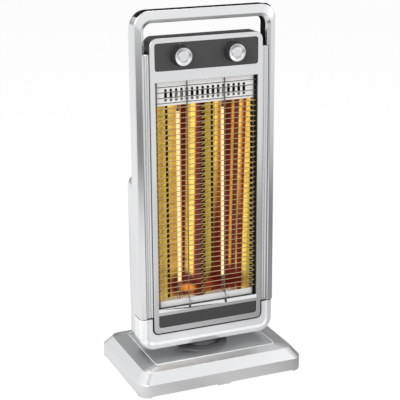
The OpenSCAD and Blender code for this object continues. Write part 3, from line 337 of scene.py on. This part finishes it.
# painted light: the strip of the top before the recess is painted from a painted highlight at the
# left to painted shade at the right, and the strip left of the recess is painted darker as painted
# shade; each is found by the way that it slopes
front_painted_highlight, front_painted_shade, left_painted_shade = 0.6, -0.2, -0.43
tree = base_paint.node_tree
base_look = finish_step(tree, "TexCoord").outputs
base_slope = finish_step(tree, "SeparateXYZ", {0: base_look["Normal"]}).outputs
base_where = finish_step(tree, "SeparateXYZ", {0: base_look["Object"]}).outputs
on_top = finish_fade(tree, base_slope["Z"], 0.9, 0.97)
at_front = finish_sum(tree, "MULTIPLY", on_top, finish_fade(tree, base_slope["Y"], -0.04, -0.1))
at_left = finish_sum(tree, "MULTIPLY", on_top, finish_fade(tree, base_slope["X"], -0.04, -0.1))
front_painted_light_gain = finish_fade(tree, base_where["X"], -0.06, 0.115, front_painted_highlight, front_painted_shade)
front_painted_light = finish_sum(tree, "MULTIPLY_ADD", at_front, front_painted_light_gain, 1.0)
left_painted_shade_tone = finish_sum(tree, "MULTIPLY_ADD", at_left, left_painted_shade, 1.0)
base_colour_with_painted_light = finish_step(tree, "VectorMath", {
    0: tree.nodes["Group"].outputs["Colour"],
    "Scale": finish_sum(tree, "MULTIPLY", front_painted_light, left_painted_shade_tone)}, operation="SCALE").outputs[0]
tree.links.new(base_colour_with_painted_light, tree.nodes["Principled BSDF"].inputs["Base Color"])
base = softened("base_cover", base_paint, width=0.0009)

# the raised disc in the recess is painted dark, as painted shade under the body
disc_reach, disc_under = 0.056, 0.04
disc_painted_shade = moulded_finish("turntable painted shade", (0.12, 0.12, 0.123), (0.16, 0.16, 0.165),
                              rough=0.5)
disc_corners = {corner.index for corner in base.data.vertices
                if corner.co.z > disc_under and corner.co.xy.length < disc_reach}
paint_faces(base, disc_painted_shade, lambda face: disc_corners.issuperset(face.vertices))

# the bead that edges the recess in the top
bead_width, bead_depth, bead_corner, bead_level, bead_radius = 0.2456, 0.1616, 0.006, 0.0481, 0.0009
bead_silver = moulded_finish("polished bead", (0.86, 0.865, 0.87), (0.93, 0.935, 0.94),
                             rough=0.25, metallic=0.3, depth=0.000001)
bpy.ops.object.select_all(action="DESELECT")
bpy.ops.mesh.primitive_plane_add(size=1.0, location=(0, 0, bead_level))
bead = bpy.context.active_object
bead.name = "recess_bead"
bead.scale = (bead_width, bead_depth, 1)
bpy.ops.object.transform_apply(location=True, rotation=True, scale=True)
bpy.ops.object.mode_set(mode="EDIT")
bpy.ops.mesh.select_all(action="SELECT")
bpy.ops.mesh.bevel(offset=bead_corner, segments=8, affect="VERTICES")
bpy.ops.mesh.delete(type="ONLY_FACE")
bpy.ops.object.mode_set(mode="OBJECT")
bpy.ops.object.convert(target="CURVE")
bead.data.bevel_depth = bead_radius
bead.data.bevel_resolution = 4
bpy.ops.object.convert(target="MESH")
bpy.ops.object.shade_smooth()
bead.data.materials.append(bead_silver)
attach(bead, "base")

# BASE PLATE, FEET AND SCREWS
# A zinc-plated steel plate closes the base from below on four self-tapping screws. Four rubber
# feet are glued into its corners.
plated_steel = moulded_finish("zinc plated steel", (0.56, 0.57, 0.58), (0.68, 0.69, 0.7),
                              rough=0.34, metallic=1.0, scale=260.0, depth=0.000006,
                              soft_edge=0.0003)
foot_rubber = moulded_finish("foot rubber", (0.02, 0.02, 0.02), (0.035, 0.035, 0.035),
                             rough=0.8, scale=700.0, depth=0.00002)
paint(plated_steel, "base_plate", "base_screws")
paint(foot_rubber, "rubber_feet")

# SWIVEL DRIVE
# A small geared motor stands on the base plate. Its nylon pinion swings the toothed sector on
# the pivot tube, which a spring clip holds from below and a slippery ring carries from above.
nylon = moulded_finish("natural nylon", (0.8, 0.77, 0.68), (0.86, 0.84, 0.76),
                       rough=0.42, scale=500.0)
motor_enamel = moulded_finish("motor case enamel", (0.45, 0.45, 0.44), (0.52, 0.52, 0.5),
                              rough=0.45, metallic=0.4)
slide_ring = moulded_finish("slide ring plastic", (0.82, 0.82, 0.78), (0.88, 0.88, 0.85), rough=0.3)
neck_plastic = moulded_finish("neck plastic", (0.1, 0.1, 0.103), (0.14, 0.14, 0.144), rough=0.5)
paint(nylon, "sector_gear", "motor_pinion")
paint(motor_enamel, "swivel_motor")
paint(slide_ring, "thrust_ring")
paint(neck_plastic, "swivel_neck")
paint(plated_steel, "pivot_clip")

# TIP-OVER SWITCH AND CORD GLAND
# A sprung red pin stands on the floor through the base plate and drops when the heater is
# lifted or falls. The gland in the back wall is a black bush of two halves.
black_plastic = moulded_finish("matt black plastic", (0.012, 0.012, 0.013), (0.022, 0.022, 0.024),
                               rough=0.5, scale=1100.0)
pin_red = moulded_finish("red pin plastic", (0.5, 0.03, 0.02), (0.6, 0.05, 0.03), rough=0.4)
paint(black_plastic, "tip_switch_case", "cord_gland")
paint(pin_red, "tip_plunger")
paint(plated_steel, "tip_spring")

# HANDLE FRAME AND CUP
# A tall hoop of silver moulding runs up both sides and over the top as the handle, with a dark
# grip let into its top and back. A glossy pale cup with a dark seal under it closes it below.
cup_paint = moulded_finish("glossy pale silver paint", (0.88, 0.89, 0.9), (0.93, 0.94, 0.95),
                           rough=0.2, metallic=0.3, coat=0.4, depth=0.000002)
dull_black_and_painted_shade = moulded_finish("dull black plastic and painted shade", (0.004, 0.004, 0.004), (0.008, 0.008, 0.008),
                            rough=0.8, shine=0.05)
grip_plastic = moulded_finish("soft black grip", (0.02, 0.02, 0.021), (0.035, 0.035, 0.037),
                              rough=0.55, scale=900.0, depth=0.00002, shine=0.0)
hoop = softened("handle_frame", silver_paint, width=0.0007)
for name in ("side_trim_left", "side_trim_right"):
    softened(name, silver_paint, width=0.0004)
cup = softened("bottom_cup", cup_paint, width=0.0006, measured="ABSOLUTE")
# the cup's upper ledges lie in the gap behind the bezel's front, and are painted black there as
# painted shade
ledge_level, ledge_front = 0.085, -0.041
paint_faces(cup, dull_black_and_painted_shade, lambda face: (
    face.normal.z > 0.8 and face.center.z > ledge_level and face.center.y > ledge_front))
paint(dull_black_and_painted_shade, "leg_backs")

# the black seal stands in the gap round the bezel's foot as painted shade; it squeezes out a little
# in front, so that more of its black shows
seal_bulge, seal_edge = 0.0021, 0.0003
seal = softened("foot_seal", dull_black_and_painted_shade, width=0.0001)
bpy.ops.object.mode_set(mode="EDIT")
bpy.ops.mesh.select_all(action="DESELECT")
bpy.ops.object.mode_set(mode="OBJECT")
seal_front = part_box("foot_seal")[0][1]
for corner in seal.data.vertices:
    corner.select = corner.co.y < seal_front + seal_edge
bpy.ops.object.mode_set(mode="EDIT")
bpy.ops.transform.translate(value=(0, -seal_bulge, 0))
bpy.ops.object.mode_set(mode="OBJECT")

# the grip laps over the hoop's top, up to its front edge
grip_level, grip_front = 0.69, -0.0392
softened("handle_grip", grip_plastic, width=0.0006, measured="ABSOLUTE")
paint_faces(hoop, grip_plastic, lambda face: (
    face.normal.z > 0.6 and face.center.z > grip_level and face.center.y > grip_front))

# BEZEL, TOP COVER AND PANELS
# The silver front moulding frames the control panel, the grille's window and the bare strip
# below. The panels are satin dark grey inserts that snap in from behind.
dark_plastic = moulded_finish("satin dark grey plastic", (0.045, 0.045, 0.047),
                              (0.065, 0.065, 0.068), rough=0.5, scale=1300.0, shine=0.25)
panel_plastic = moulded_finish("satin panel plastic", (0.042, 0.042, 0.044), (0.06, 0.06, 0.063),
                               rough=0.46, scale=1300.0, depth=0.000008)
bezel = softened("front_bezel", silver_paint, width=0.0006, measured="ABSOLUTE")
# round its foot the bezel is painted black as painted shade in the gap, and behind its front the
# shoulders and flanks are dark
foot_level, foot_front = 0.1235, -0.0419
flank_side, shoulder_level, flank_front = 0.107, 0.62, -0.0385
paint_faces(bezel, dull_black_and_painted_shade, lambda face: (
    face.center.z < foot_level and face.center.y > foot_front
    and max(abs(face.normal.x), -face.normal.z) > 0.6))
paint_faces(bezel, dark_plastic, lambda face: face.center.y > flank_front and (
    face.center.z > shoulder_level
    or abs(face.normal.x) > 0.9 and abs(face.center.x) > flank_side))
softened("top_cover", dark_plastic, width=0.0006)
paint(panel_plastic, "control_panel", "lower_strip")
paint(black_plastic, "window_liner")

# BACK SHELLS
# Two rounded shells screw to the chassis from behind: a silver one low down, and a narrower
# dark one with louvres above it.
softened("lower_back", silver_paint, width=0.0008)
softened("upper_back", dark_plastic, width=0.0006)
paint(plated_steel, "back_screws")

# CHASSIS AND WIRING PARTS
# A folded sheet of plated steel carries the tubes and the back shells. The cut-out, the
# terminal block and the two rotary switches are bought-in parts.
fired_ceramic = moulded_finish("white ceramic", (0.78, 0.76, 0.7), (0.85, 0.83, 0.78),
                               rough=0.6, scale=900.0, depth=0.00002)
switch_plastic = moulded_finish("cream switch plastic", (0.62, 0.57, 0.45), (0.68, 0.64, 0.52),
                                rough=0.45)
# the chassis is painted near black as painted shade, so that the slots of the plate show dark
chassis_painted_shade = moulded_finish("chassis steel with painted shade", (0.006, 0.005, 0.005), (0.012, 0.01, 0.01),
                             rough=0.6, metallic=0.3, scale=200.0, soft_edge=0.0003)
paint(chassis_painted_shade, "chassis")
paint(plated_steel, "tube_clips")
paint(black_plastic, "thermal_cutout")
paint(fired_ceramic, "terminal_block", "tube_caps")
paint(switch_plastic, "selector_switch", "swing_switch")

# REFLECTOR AND PLATES
# One mirror-bright sheet is folded into two troughs behind the tubes. A plate of slots closes it
# above, and a plain lip below. Their gold is painted glow and painted reflection.
bright_sheet = moulded_finish("bright sheet", (0.95, 0.95, 0.945), (0.99, 0.99, 0.985),
                              rough=0.4, metallic=0.08, scale=120.0, depth=0.000004,
                              soft_edge=0.0002)
paint(bright_sheet, "floor_plate")

# a narrow border round each slot of the plate, a bar between two dots, is painted black as painted
# shade, so that the slots show wider and dark
slot_pitch, slot_level, row_reach = 0.0103, 0.546, 0.0815
bar_reach, bar_rise, dot_rise, dot_radius = 0.0028, 0.005, 0.0088, 0.0027
slot_painted_shade, plate_painted_glow = (0.004, 0.004, 0.004, 1), (1.0, 0.95, 0.88, 1)
plate_with_painted_light = bright_sheet.copy()
plate_with_painted_light.name = "bright sheet with painted shade and glow"
tree = plate_with_painted_light.node_tree
slot_place = finish_step(tree, "TexCoord").outputs["Object"]
slot_axes = finish_step(tree, "SeparateXYZ", {0: slot_place}).outputs
slot_wave = finish_sum(tree, "PINGPONG", slot_axes["X"], slot_pitch / 2)
slot_side = finish_sum(tree, "SUBTRACT", slot_pitch / 2, slot_wave)
slot_up = finish_sum(tree, "ABSOLUTE", finish_sum(tree, "SUBTRACT", slot_axes["Z"], slot_level))
in_bar = finish_sum(tree, "MAXIMUM", finish_sum(tree, "SUBTRACT", slot_side, bar_reach),
                    finish_sum(tree, "SUBTRACT", slot_up, bar_rise))
dot_up = finish_sum(tree, "SUBTRACT", slot_up, dot_rise)
dot_gap = finish_sum(tree, "POWER", finish_sum(
    tree, "ADD", finish_sum(tree, "MULTIPLY", slot_side, slot_side),
    finish_sum(tree, "MULTIPLY", dot_up, dot_up)), 0.5)
near_slot = finish_sum(tree, "MINIMUM", in_bar, finish_sum(tree, "SUBTRACT", dot_gap, dot_radius))
in_row = finish_sum(tree, "LESS_THAN", finish_sum(tree, "ABSOLUTE", slot_axes["X"]), row_reach)
slot_shade_share = finish_sum(
    tree, "MULTIPLY", finish_fade(tree, near_slot, -0.0002, 0.0003, 1.0, 0.0), in_row)
plate_surface = tree.nodes["Principled BSDF"].inputs
plate_colour = plate_surface["Base Color"].links[0].from_socket
for socket, value in (
    ("Base Color", colour_over(tree, slot_shade_share, plate_colour, slot_painted_shade)),
    ("Emission Color", colour_over(tree, slot_shade_share, plate_painted_glow, (0, 0, 0, 1))),
):
    tree.links.new(value, plate_surface[socket])
# elsewhere the plate glows pale, a painted glow of the tubes' light on it
plate_surface["Specular IOR Level"].default_value = 0.15
plate_surface["Emission Strength"].default_value = 0.14
paint(plate_with_painted_light, "slotted_plate")

# the painted reflection of the glow in the sheet, in bands: each band's place in millimetres and
# colour
dash_black, maroon, plum = (0.006, 0.004, 0.003), (0.085, 0.006, 0.005), (0.1, 0.022, 0.02)
ember_red, ember_orange, olive = (0.24, 0.03, 0.012), (0.9, 0.3, 0.04), (0.43, 0.335, 0.06)
gold, yellow, straw = (0.52, 0.27, 0.04), (0.82, 0.56, 0.11), (0.58, 0.42, 0.09)
left_bands = (
    (-98, olive), (-94, straw), (-78, olive), (-66, straw), (-57, straw), (-46, gold),
    (-40, gold), (-37, ember_red), (-33, maroon), (-26, maroon), (-23.5, gold), (-19, straw),
    (-16, yellow), (-11.5, yellow), (-9, ember_red), (-6, plum), (0, plum),
)
right_bands = (
    (0, ember_red), (2.5, straw), (5, olive), (18, olive), (34, olive), (37, yellow), (42, gold),
    (46, ember_red), (56, maroon), (65, maroon), (67, gold), (69, gold), (71, maroon),
    (76.5, plum), (78, yellow), (81, gold), (83, ember_red), (85.5, maroon), (87, yellow),
    (91.5, yellow), (93, olive), (98, olive),
)
half_sheet = 0.1
mirror_sheet = bpy.data.materials.new("mirror sheet with painted reflection and glow")
mirror_sheet.use_nodes = True
tree = mirror_sheet.node_tree
sheet_place = finish_step(tree, "TexCoord").outputs["Object"]
sheet_axes = finish_step(tree, "SeparateXYZ", {0: sheet_place}).outputs
# the bands lean a little to the left on their way down from the sheet's middle
lean, sheet_middle = -0.016, 0.34
sheet_up = finish_sum(tree, "SUBTRACT", sheet_axes["Z"], sheet_middle)
band_place = finish_sum(tree, "MULTIPLY_ADD", sheet_up, lean, sheet_axes["X"])
halves = []
for first, stripes in ((-half_sheet, left_bands), (0.0, right_bands)):
    across = finish_fade(tree, band_place, first, first + half_sheet)
    half = finish_step(tree, "ValToRGB", {0: across})
    stops = half.color_ramp.elements
    stops.remove(stops[1])
    for x, colour in stripes:
        stops.new((x / 1000 - first) / half_sheet).color = (*colour, 1)
    stops.remove(stops[0])
    halves.append(half.outputs[0])
right_half = finish_sum(tree, "GREATER_THAN", sheet_axes["X"], 0.0)
bands = colour_over(tree, right_half, *halves)
# fine level ripples in the painted reflection
stretched = finish_step(tree, "Mapping", {"Vector": sheet_place, "Scale": (45, 45, 420)}).outputs[0]
ripple = finish_step(tree, "TexNoise", {
    "Vector": stretched, "Scale": 1.0, "Detail": 3.0}).outputs[0]
dapple = finish_fade(tree, ripple, 0.3, 0.7, 0.55, 1.3)
painted_reflection = colour_over(tree, 1.0, bands, dapple, "MULTIPLY")

# columns of short dark dashes; seen past the wires, one dash stands between each two of them
dash_columns = ((-64.5, -58.5), (-1.5, 12), (27.5, 33), (93.5, 98.5))
dash_pitch, dash_start = 0.01006, 0.13975
comb_place = finish_fade(tree, sheet_axes["X"], -half_sheet, half_sheet)
comb = finish_step(tree, "ValToRGB", {0: comb_place})
comb.color_ramp.interpolation = "CONSTANT"
stops = comb.color_ramp.elements
stops.remove(stops[1])
stops[0].color = (0, 0, 0, 1)
for column in dash_columns:
    for edge, level in zip(column, (1, 0)):
        stops.new((edge / 1000 + half_sheet) / (2 * half_sheet)).color = (level, level, level, 1)
wave = finish_sum(tree, "PINGPONG", finish_sum(tree, "SUBTRACT", sheet_axes["Z"], dash_start),
                  dash_pitch / 2)
in_dash = finish_fade(tree, wave, 0.0011, 0.0015)
dashes = finish_sum(tree, "MULTIPLY", comb.outputs[0], in_dash)
painted_reflection = colour_over(tree, dashes, painted_reflection, (*dash_black, 1))

# painted places where the glow's reflection ends or gathers: middle, half width and half height,
# softness, colour
for x, z, wide, high, soft, colour in (
    (0.0405, 0.2, 0.009, 0.15, 0.5, maroon),
    (0.0795, 0.2, 0.0035, 0.15, 0.5, maroon),
    (-0.03, 0.163, 0.03, 0.026, 0.35, maroon),
    (0.052, 0.165, 0.038, 0.028, 0.35, maroon),
    (-0.022, 0.156, 0.011, 0.007, 0.6, ember_orange),
    (0.02, 0.155, 0.012, 0.012, 0.5, ember_red),
):
    offset = finish_step(tree, "VectorMath", {
        0: sheet_place, 1: (x, 0, z)}, operation="SUBTRACT").outputs[0]
    oval = finish_step(tree, "VectorMath", {
        0: offset, 1: (1 / wide, 0, 1 / high)}, operation="MULTIPLY").outputs[0]
    gap = finish_step(tree, "VectorMath", {0: oval}, operation="LENGTH").outputs["Value"]
    spot = finish_fade(tree, gap, 1 - soft, 1 + soft, 1.0, 0.0, "SMOOTHSTEP")
    painted_reflection = colour_over(tree, spot, painted_reflection, (*colour, 1))
# the sheet glows with its painted reflection, though it is no lamp
sheet = tree.nodes["Principled BSDF"].inputs
for socket in ("Base Color", "Emission Color"):
    tree.links.new(painted_reflection, sheet[socket])
for socket, value in (("Metallic", 0.7), ("Roughness", 0.24), ("Emission Strength", 0.55)):
    sheet[socket].default_value = value
paint(mirror_sheet, "reflector")

# TUBES
# Each tube is clear fused quartz. The woven carbon strip inside it glows from yellow at its
# edges to white, between crimped leads.
quartz = bpy.data.materials.new("clear quartz")
quartz.use_nodes = True
tree = quartz.node_tree
glass = tree.nodes["Principled BSDF"]
for socket, value in (("Transmission Weight", 1.0), ("Roughness", 0.02), ("IOR", 1.46),
                      ("Base Color", (1, 1, 1, 1))):
    glass.inputs[socket].default_value = value
# the quartz throws no shadow
shadow_ray = finish_step(tree, "LightPath").outputs["Is Shadow Ray"]
clear = finish_step(tree, "BsdfTransparent").outputs[0]
either = finish_step(tree, "MixShader", {0: shadow_ray, 1: glass.outputs[0], 2: clear}).outputs[0]
tree.links.new(either, tree.nodes["Material Output"].inputs["Surface"])
paint(quartz, "tube_left", "tube_right")

tube_side, strip_reach = 0.045, 0.0036
strip_middle, strip_end, strip_tip = 0.34365, 0.1655, 0.1665
glow = bpy.data.materials.new("glowing carbon")
glow.use_nodes = True
tree = glow.node_tree
strip_place = finish_step(tree, "TexCoord").outputs["Object"]
strip_axes = finish_step(tree, "SeparateXYZ", {0: strip_place}).outputs
from_tube = finish_sum(
    tree, "SUBTRACT", finish_sum(tree, "ABSOLUTE", strip_axes["X"]), tube_side)
off_middle = finish_fade(tree, finish_sum(tree, "ABSOLUTE", from_tube), 0.0, strip_reach)
across_strip = finish_step(tree, "ValToRGB", {0: off_middle})
across_strip.color_ramp.elements[0].color = (1.0, 0.84, 0.52, 1)
across_strip.color_ramp.elements[1].color = (1.0, 0.56, 0.16, 1)
weave = finish_step(tree, "TexNoise", {"Vector": strip_place, "Scale": 900.0}).outputs[0]
weave_level = finish_fade(tree, weave, 0.0, 1.0, 0.82, 1.1)
up_strip = finish_sum(
    tree, "ABSOLUTE", finish_sum(tree, "SUBTRACT", strip_axes["Z"], strip_middle))
lit = finish_fade(tree, up_strip, strip_end, strip_tip, 1.0, 0.0)
strip_level = finish_sum(tree, "MULTIPLY", lit, weave_level)
glowing = colour_over(tree, 1.0, across_strip.outputs[0], strip_level, "MULTIPLY")
ember = tree.nodes["Principled BSDF"].inputs
ember["Base Color"].default_value = (0.05, 0.04, 0.03, 1)
ember["Emission Strength"].default_value = 1.2
tree.links.new(glowing, ember["Emission Color"])
paint(glow, "carbon_strip_left", "carbon_strip_right")

# GUARD
# Forty-two level wires are bent back at both ends and welded to four uprights, then plated bright.
# Those before the glow are painted with its warm light, and the rest of the wires and the uprights
# are painted dark as painted shade.
glow_lit_top, glow_lit_foot = 0.53, 0.15
wire_painted_glow = moulded_finish("wire with painted glow", (0.42, 0.3, 0.16), (0.56, 0.42, 0.24),
                             rough=0.3, metallic=0.8, scale=300.0, depth=0.000002,
                             soft_edge=0.0002)
wire_painted_shade = moulded_finish("wire with painted shade", (0.13, 0.125, 0.12), (0.2, 0.19, 0.18),
                           rough=0.3, metallic=0.9, scale=300.0, depth=0.000002,
                           soft_edge=0.0002)
guard = softened("guard_wires", wire_painted_glow, width=0.00001, sharp=80)
paint_faces(guard, wire_painted_shade, lambda face: not glow_lit_foot <= face.center.z <= glow_lit_top)
paint(wire_painted_shade, "guard_uprights")

# KNOBS
# Two round knobs with a bright rim and a set-in disc turn on the switches' steel shafts, each
# over a dark ring on the panel.
knob_paint = moulded_finish("knob silver", (0.6, 0.605, 0.61), (0.7, 0.705, 0.71),
                            rough=0.24, metallic=0.85, depth=0.000002)
knob_side_painted_reflection = moulded_finish("knob side with painted reflection", (0.05, 0.05, 0.052), (0.09, 0.09, 0.093),
                            rough=0.4, metallic=0.3, shine=0.3)
knob_low, knob_high = (Vector(v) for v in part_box("selector_knob"))
knob_middle = (knob_low + knob_high) / 2
knob_radius = (knob_high.x - knob_low.x) / 2
bpy.ops.object.select_all(action="DESELECT")
bpy.ops.mesh.primitive_cylinder_add(
    vertices=96, radius=knob_radius, depth=knob_high.y - knob_low.y, location=knob_middle,
    rotation=(pi / 2, 0, 0))
knob = bpy.context.active_object
knob.name = "selector_knob_turned"
bpy.ops.object.transform_apply(location=True, rotation=True, scale=True)


def select_faces(piece, wanted):
    # face select mode, with only the wanted faces selected
    bpy.ops.object.mode_set(mode="EDIT")
    bpy.ops.mesh.select_mode(type="FACE")
    bpy.ops.mesh.select_all(action="DESELECT")
    bpy.ops.object.mode_set(mode="OBJECT")
    for face in piece.data.polygons:
        face.select = wanted(face)
    bpy.ops.object.mode_set(mode="EDIT")


# the face: a tapered side, a rounded rim, a shallow dish, a groove and a set-in disc, in steps
# that each go inward from the last, and down or up
face_taper = 0.965
select_faces(knob, lambda face: face.normal.y < -0.9)
bpy.ops.transform.resize(value=(face_taper, 1, face_taper),
                         center_override=(knob_middle.x, knob_low.y, knob_middle.z))
for inward, sunk in ((0.0011, 0.0), (0.0006, -0.0003), (0.0038, -0.0005), (0.0002, -0.0009),
                     (0.0006, 0.0), (0.0002, 0.0008), (0.0004, 0.0002), (0.003, -0.0001)):
    bpy.ops.mesh.inset(thickness=inward, depth=sunk)
bpy.ops.object.mode_set(mode="OBJECT")
# fine flutes round the side
sides = [face.index for face in knob.data.polygons
         if abs(face.normal.y) < 0.2 and face.area > 0.00001]
select_faces(knob, lambda face: face.index in sides[::2])
bpy.ops.mesh.inset(thickness=0.0002, depth=-0.00035, use_individual=True)
bpy.ops.object.mode_set(mode="OBJECT")
round_edges(knob, width=0.00035, sharp=50)
bpy.ops.object.modifier_apply(modifier="rounding")
bpy.ops.object.shade_smooth_by_angle(angle=radians(40))
# the side behind the rim is painted dark, as a painted reflection of the dark panel round it
rim_depth = 0.0012
knob.data.materials.append(knob_paint)
paint_faces(knob, knob_side_painted_reflection, lambda face: (
    face.center.y > knob_low.y + rim_depth
    and (face.center - knob_middle).xz.length > 0.9 * knob_radius))
swing = knob.copy()
swing.data = knob.data.copy()
swing.name = "swing_knob_turned"
bpy.context.scene.collection.objects.link(swing)
pick(swing)
swing.location.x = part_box("swing_knob")[0][0] - knob_low.x
bpy.ops.object.transform_apply(location=True, rotation=True, scale=True)
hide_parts("selector_knob", "selector_cap")
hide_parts("swing_knob", "swing_cap")
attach(knob, "selector")
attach(swing, "swing_control")
paint(plated_steel, "selector_shaft", "swing_shaft")
paint(black_plastic, "knob_rings")

# DIAL MARKS
# Small pale figures are printed on the panel round each knob, one for each place that it
# clicks into.
mark_ink = moulded_finish("pale print", (0.3, 0.3, 0.3), (0.36, 0.36, 0.36), rough=0.6)
panel_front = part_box("control_panel")[0][1]
mark_height, mark_thickness, mark_ring_x, mark_ring_z = 0.0055, 0.00004, 0.0235, 0.0205
for side, figure, turn in ((-1, "0", 0), (-1, "1", 45), (-1, "2", 90), (1, "0", 0), (1, "1", 45)):
    bpy.ops.object.select_all(action="DESELECT")
    bpy.ops.object.text_add()
    mark = bpy.context.active_object
    mark.data.body = figure
    mark.data.size = mark_height
    mark.data.extrude = mark_thickness
    mark.data.align_x = "CENTER"
    mark.data.align_y = "CENTER"
    bpy.ops.object.convert(target="MESH")
    mark.rotation_euler = (pi / 2, 0, 0)
    mark.location = (
        side * abs(knob_middle.x) + mark_ring_x * sin(radians(turn)),
        panel_front - mark_thickness,
        knob_middle.z + mark_ring_z * cos(radians(turn)),
    )
    bpy.ops.object.transform_apply(location=True, rotation=True, scale=True)
    mark.name = ("selector" if side < 0 else "swing") + "_mark_" + str(turn)
    mark.data.materials.append(mark_ink)
    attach(mark, "heater_body")
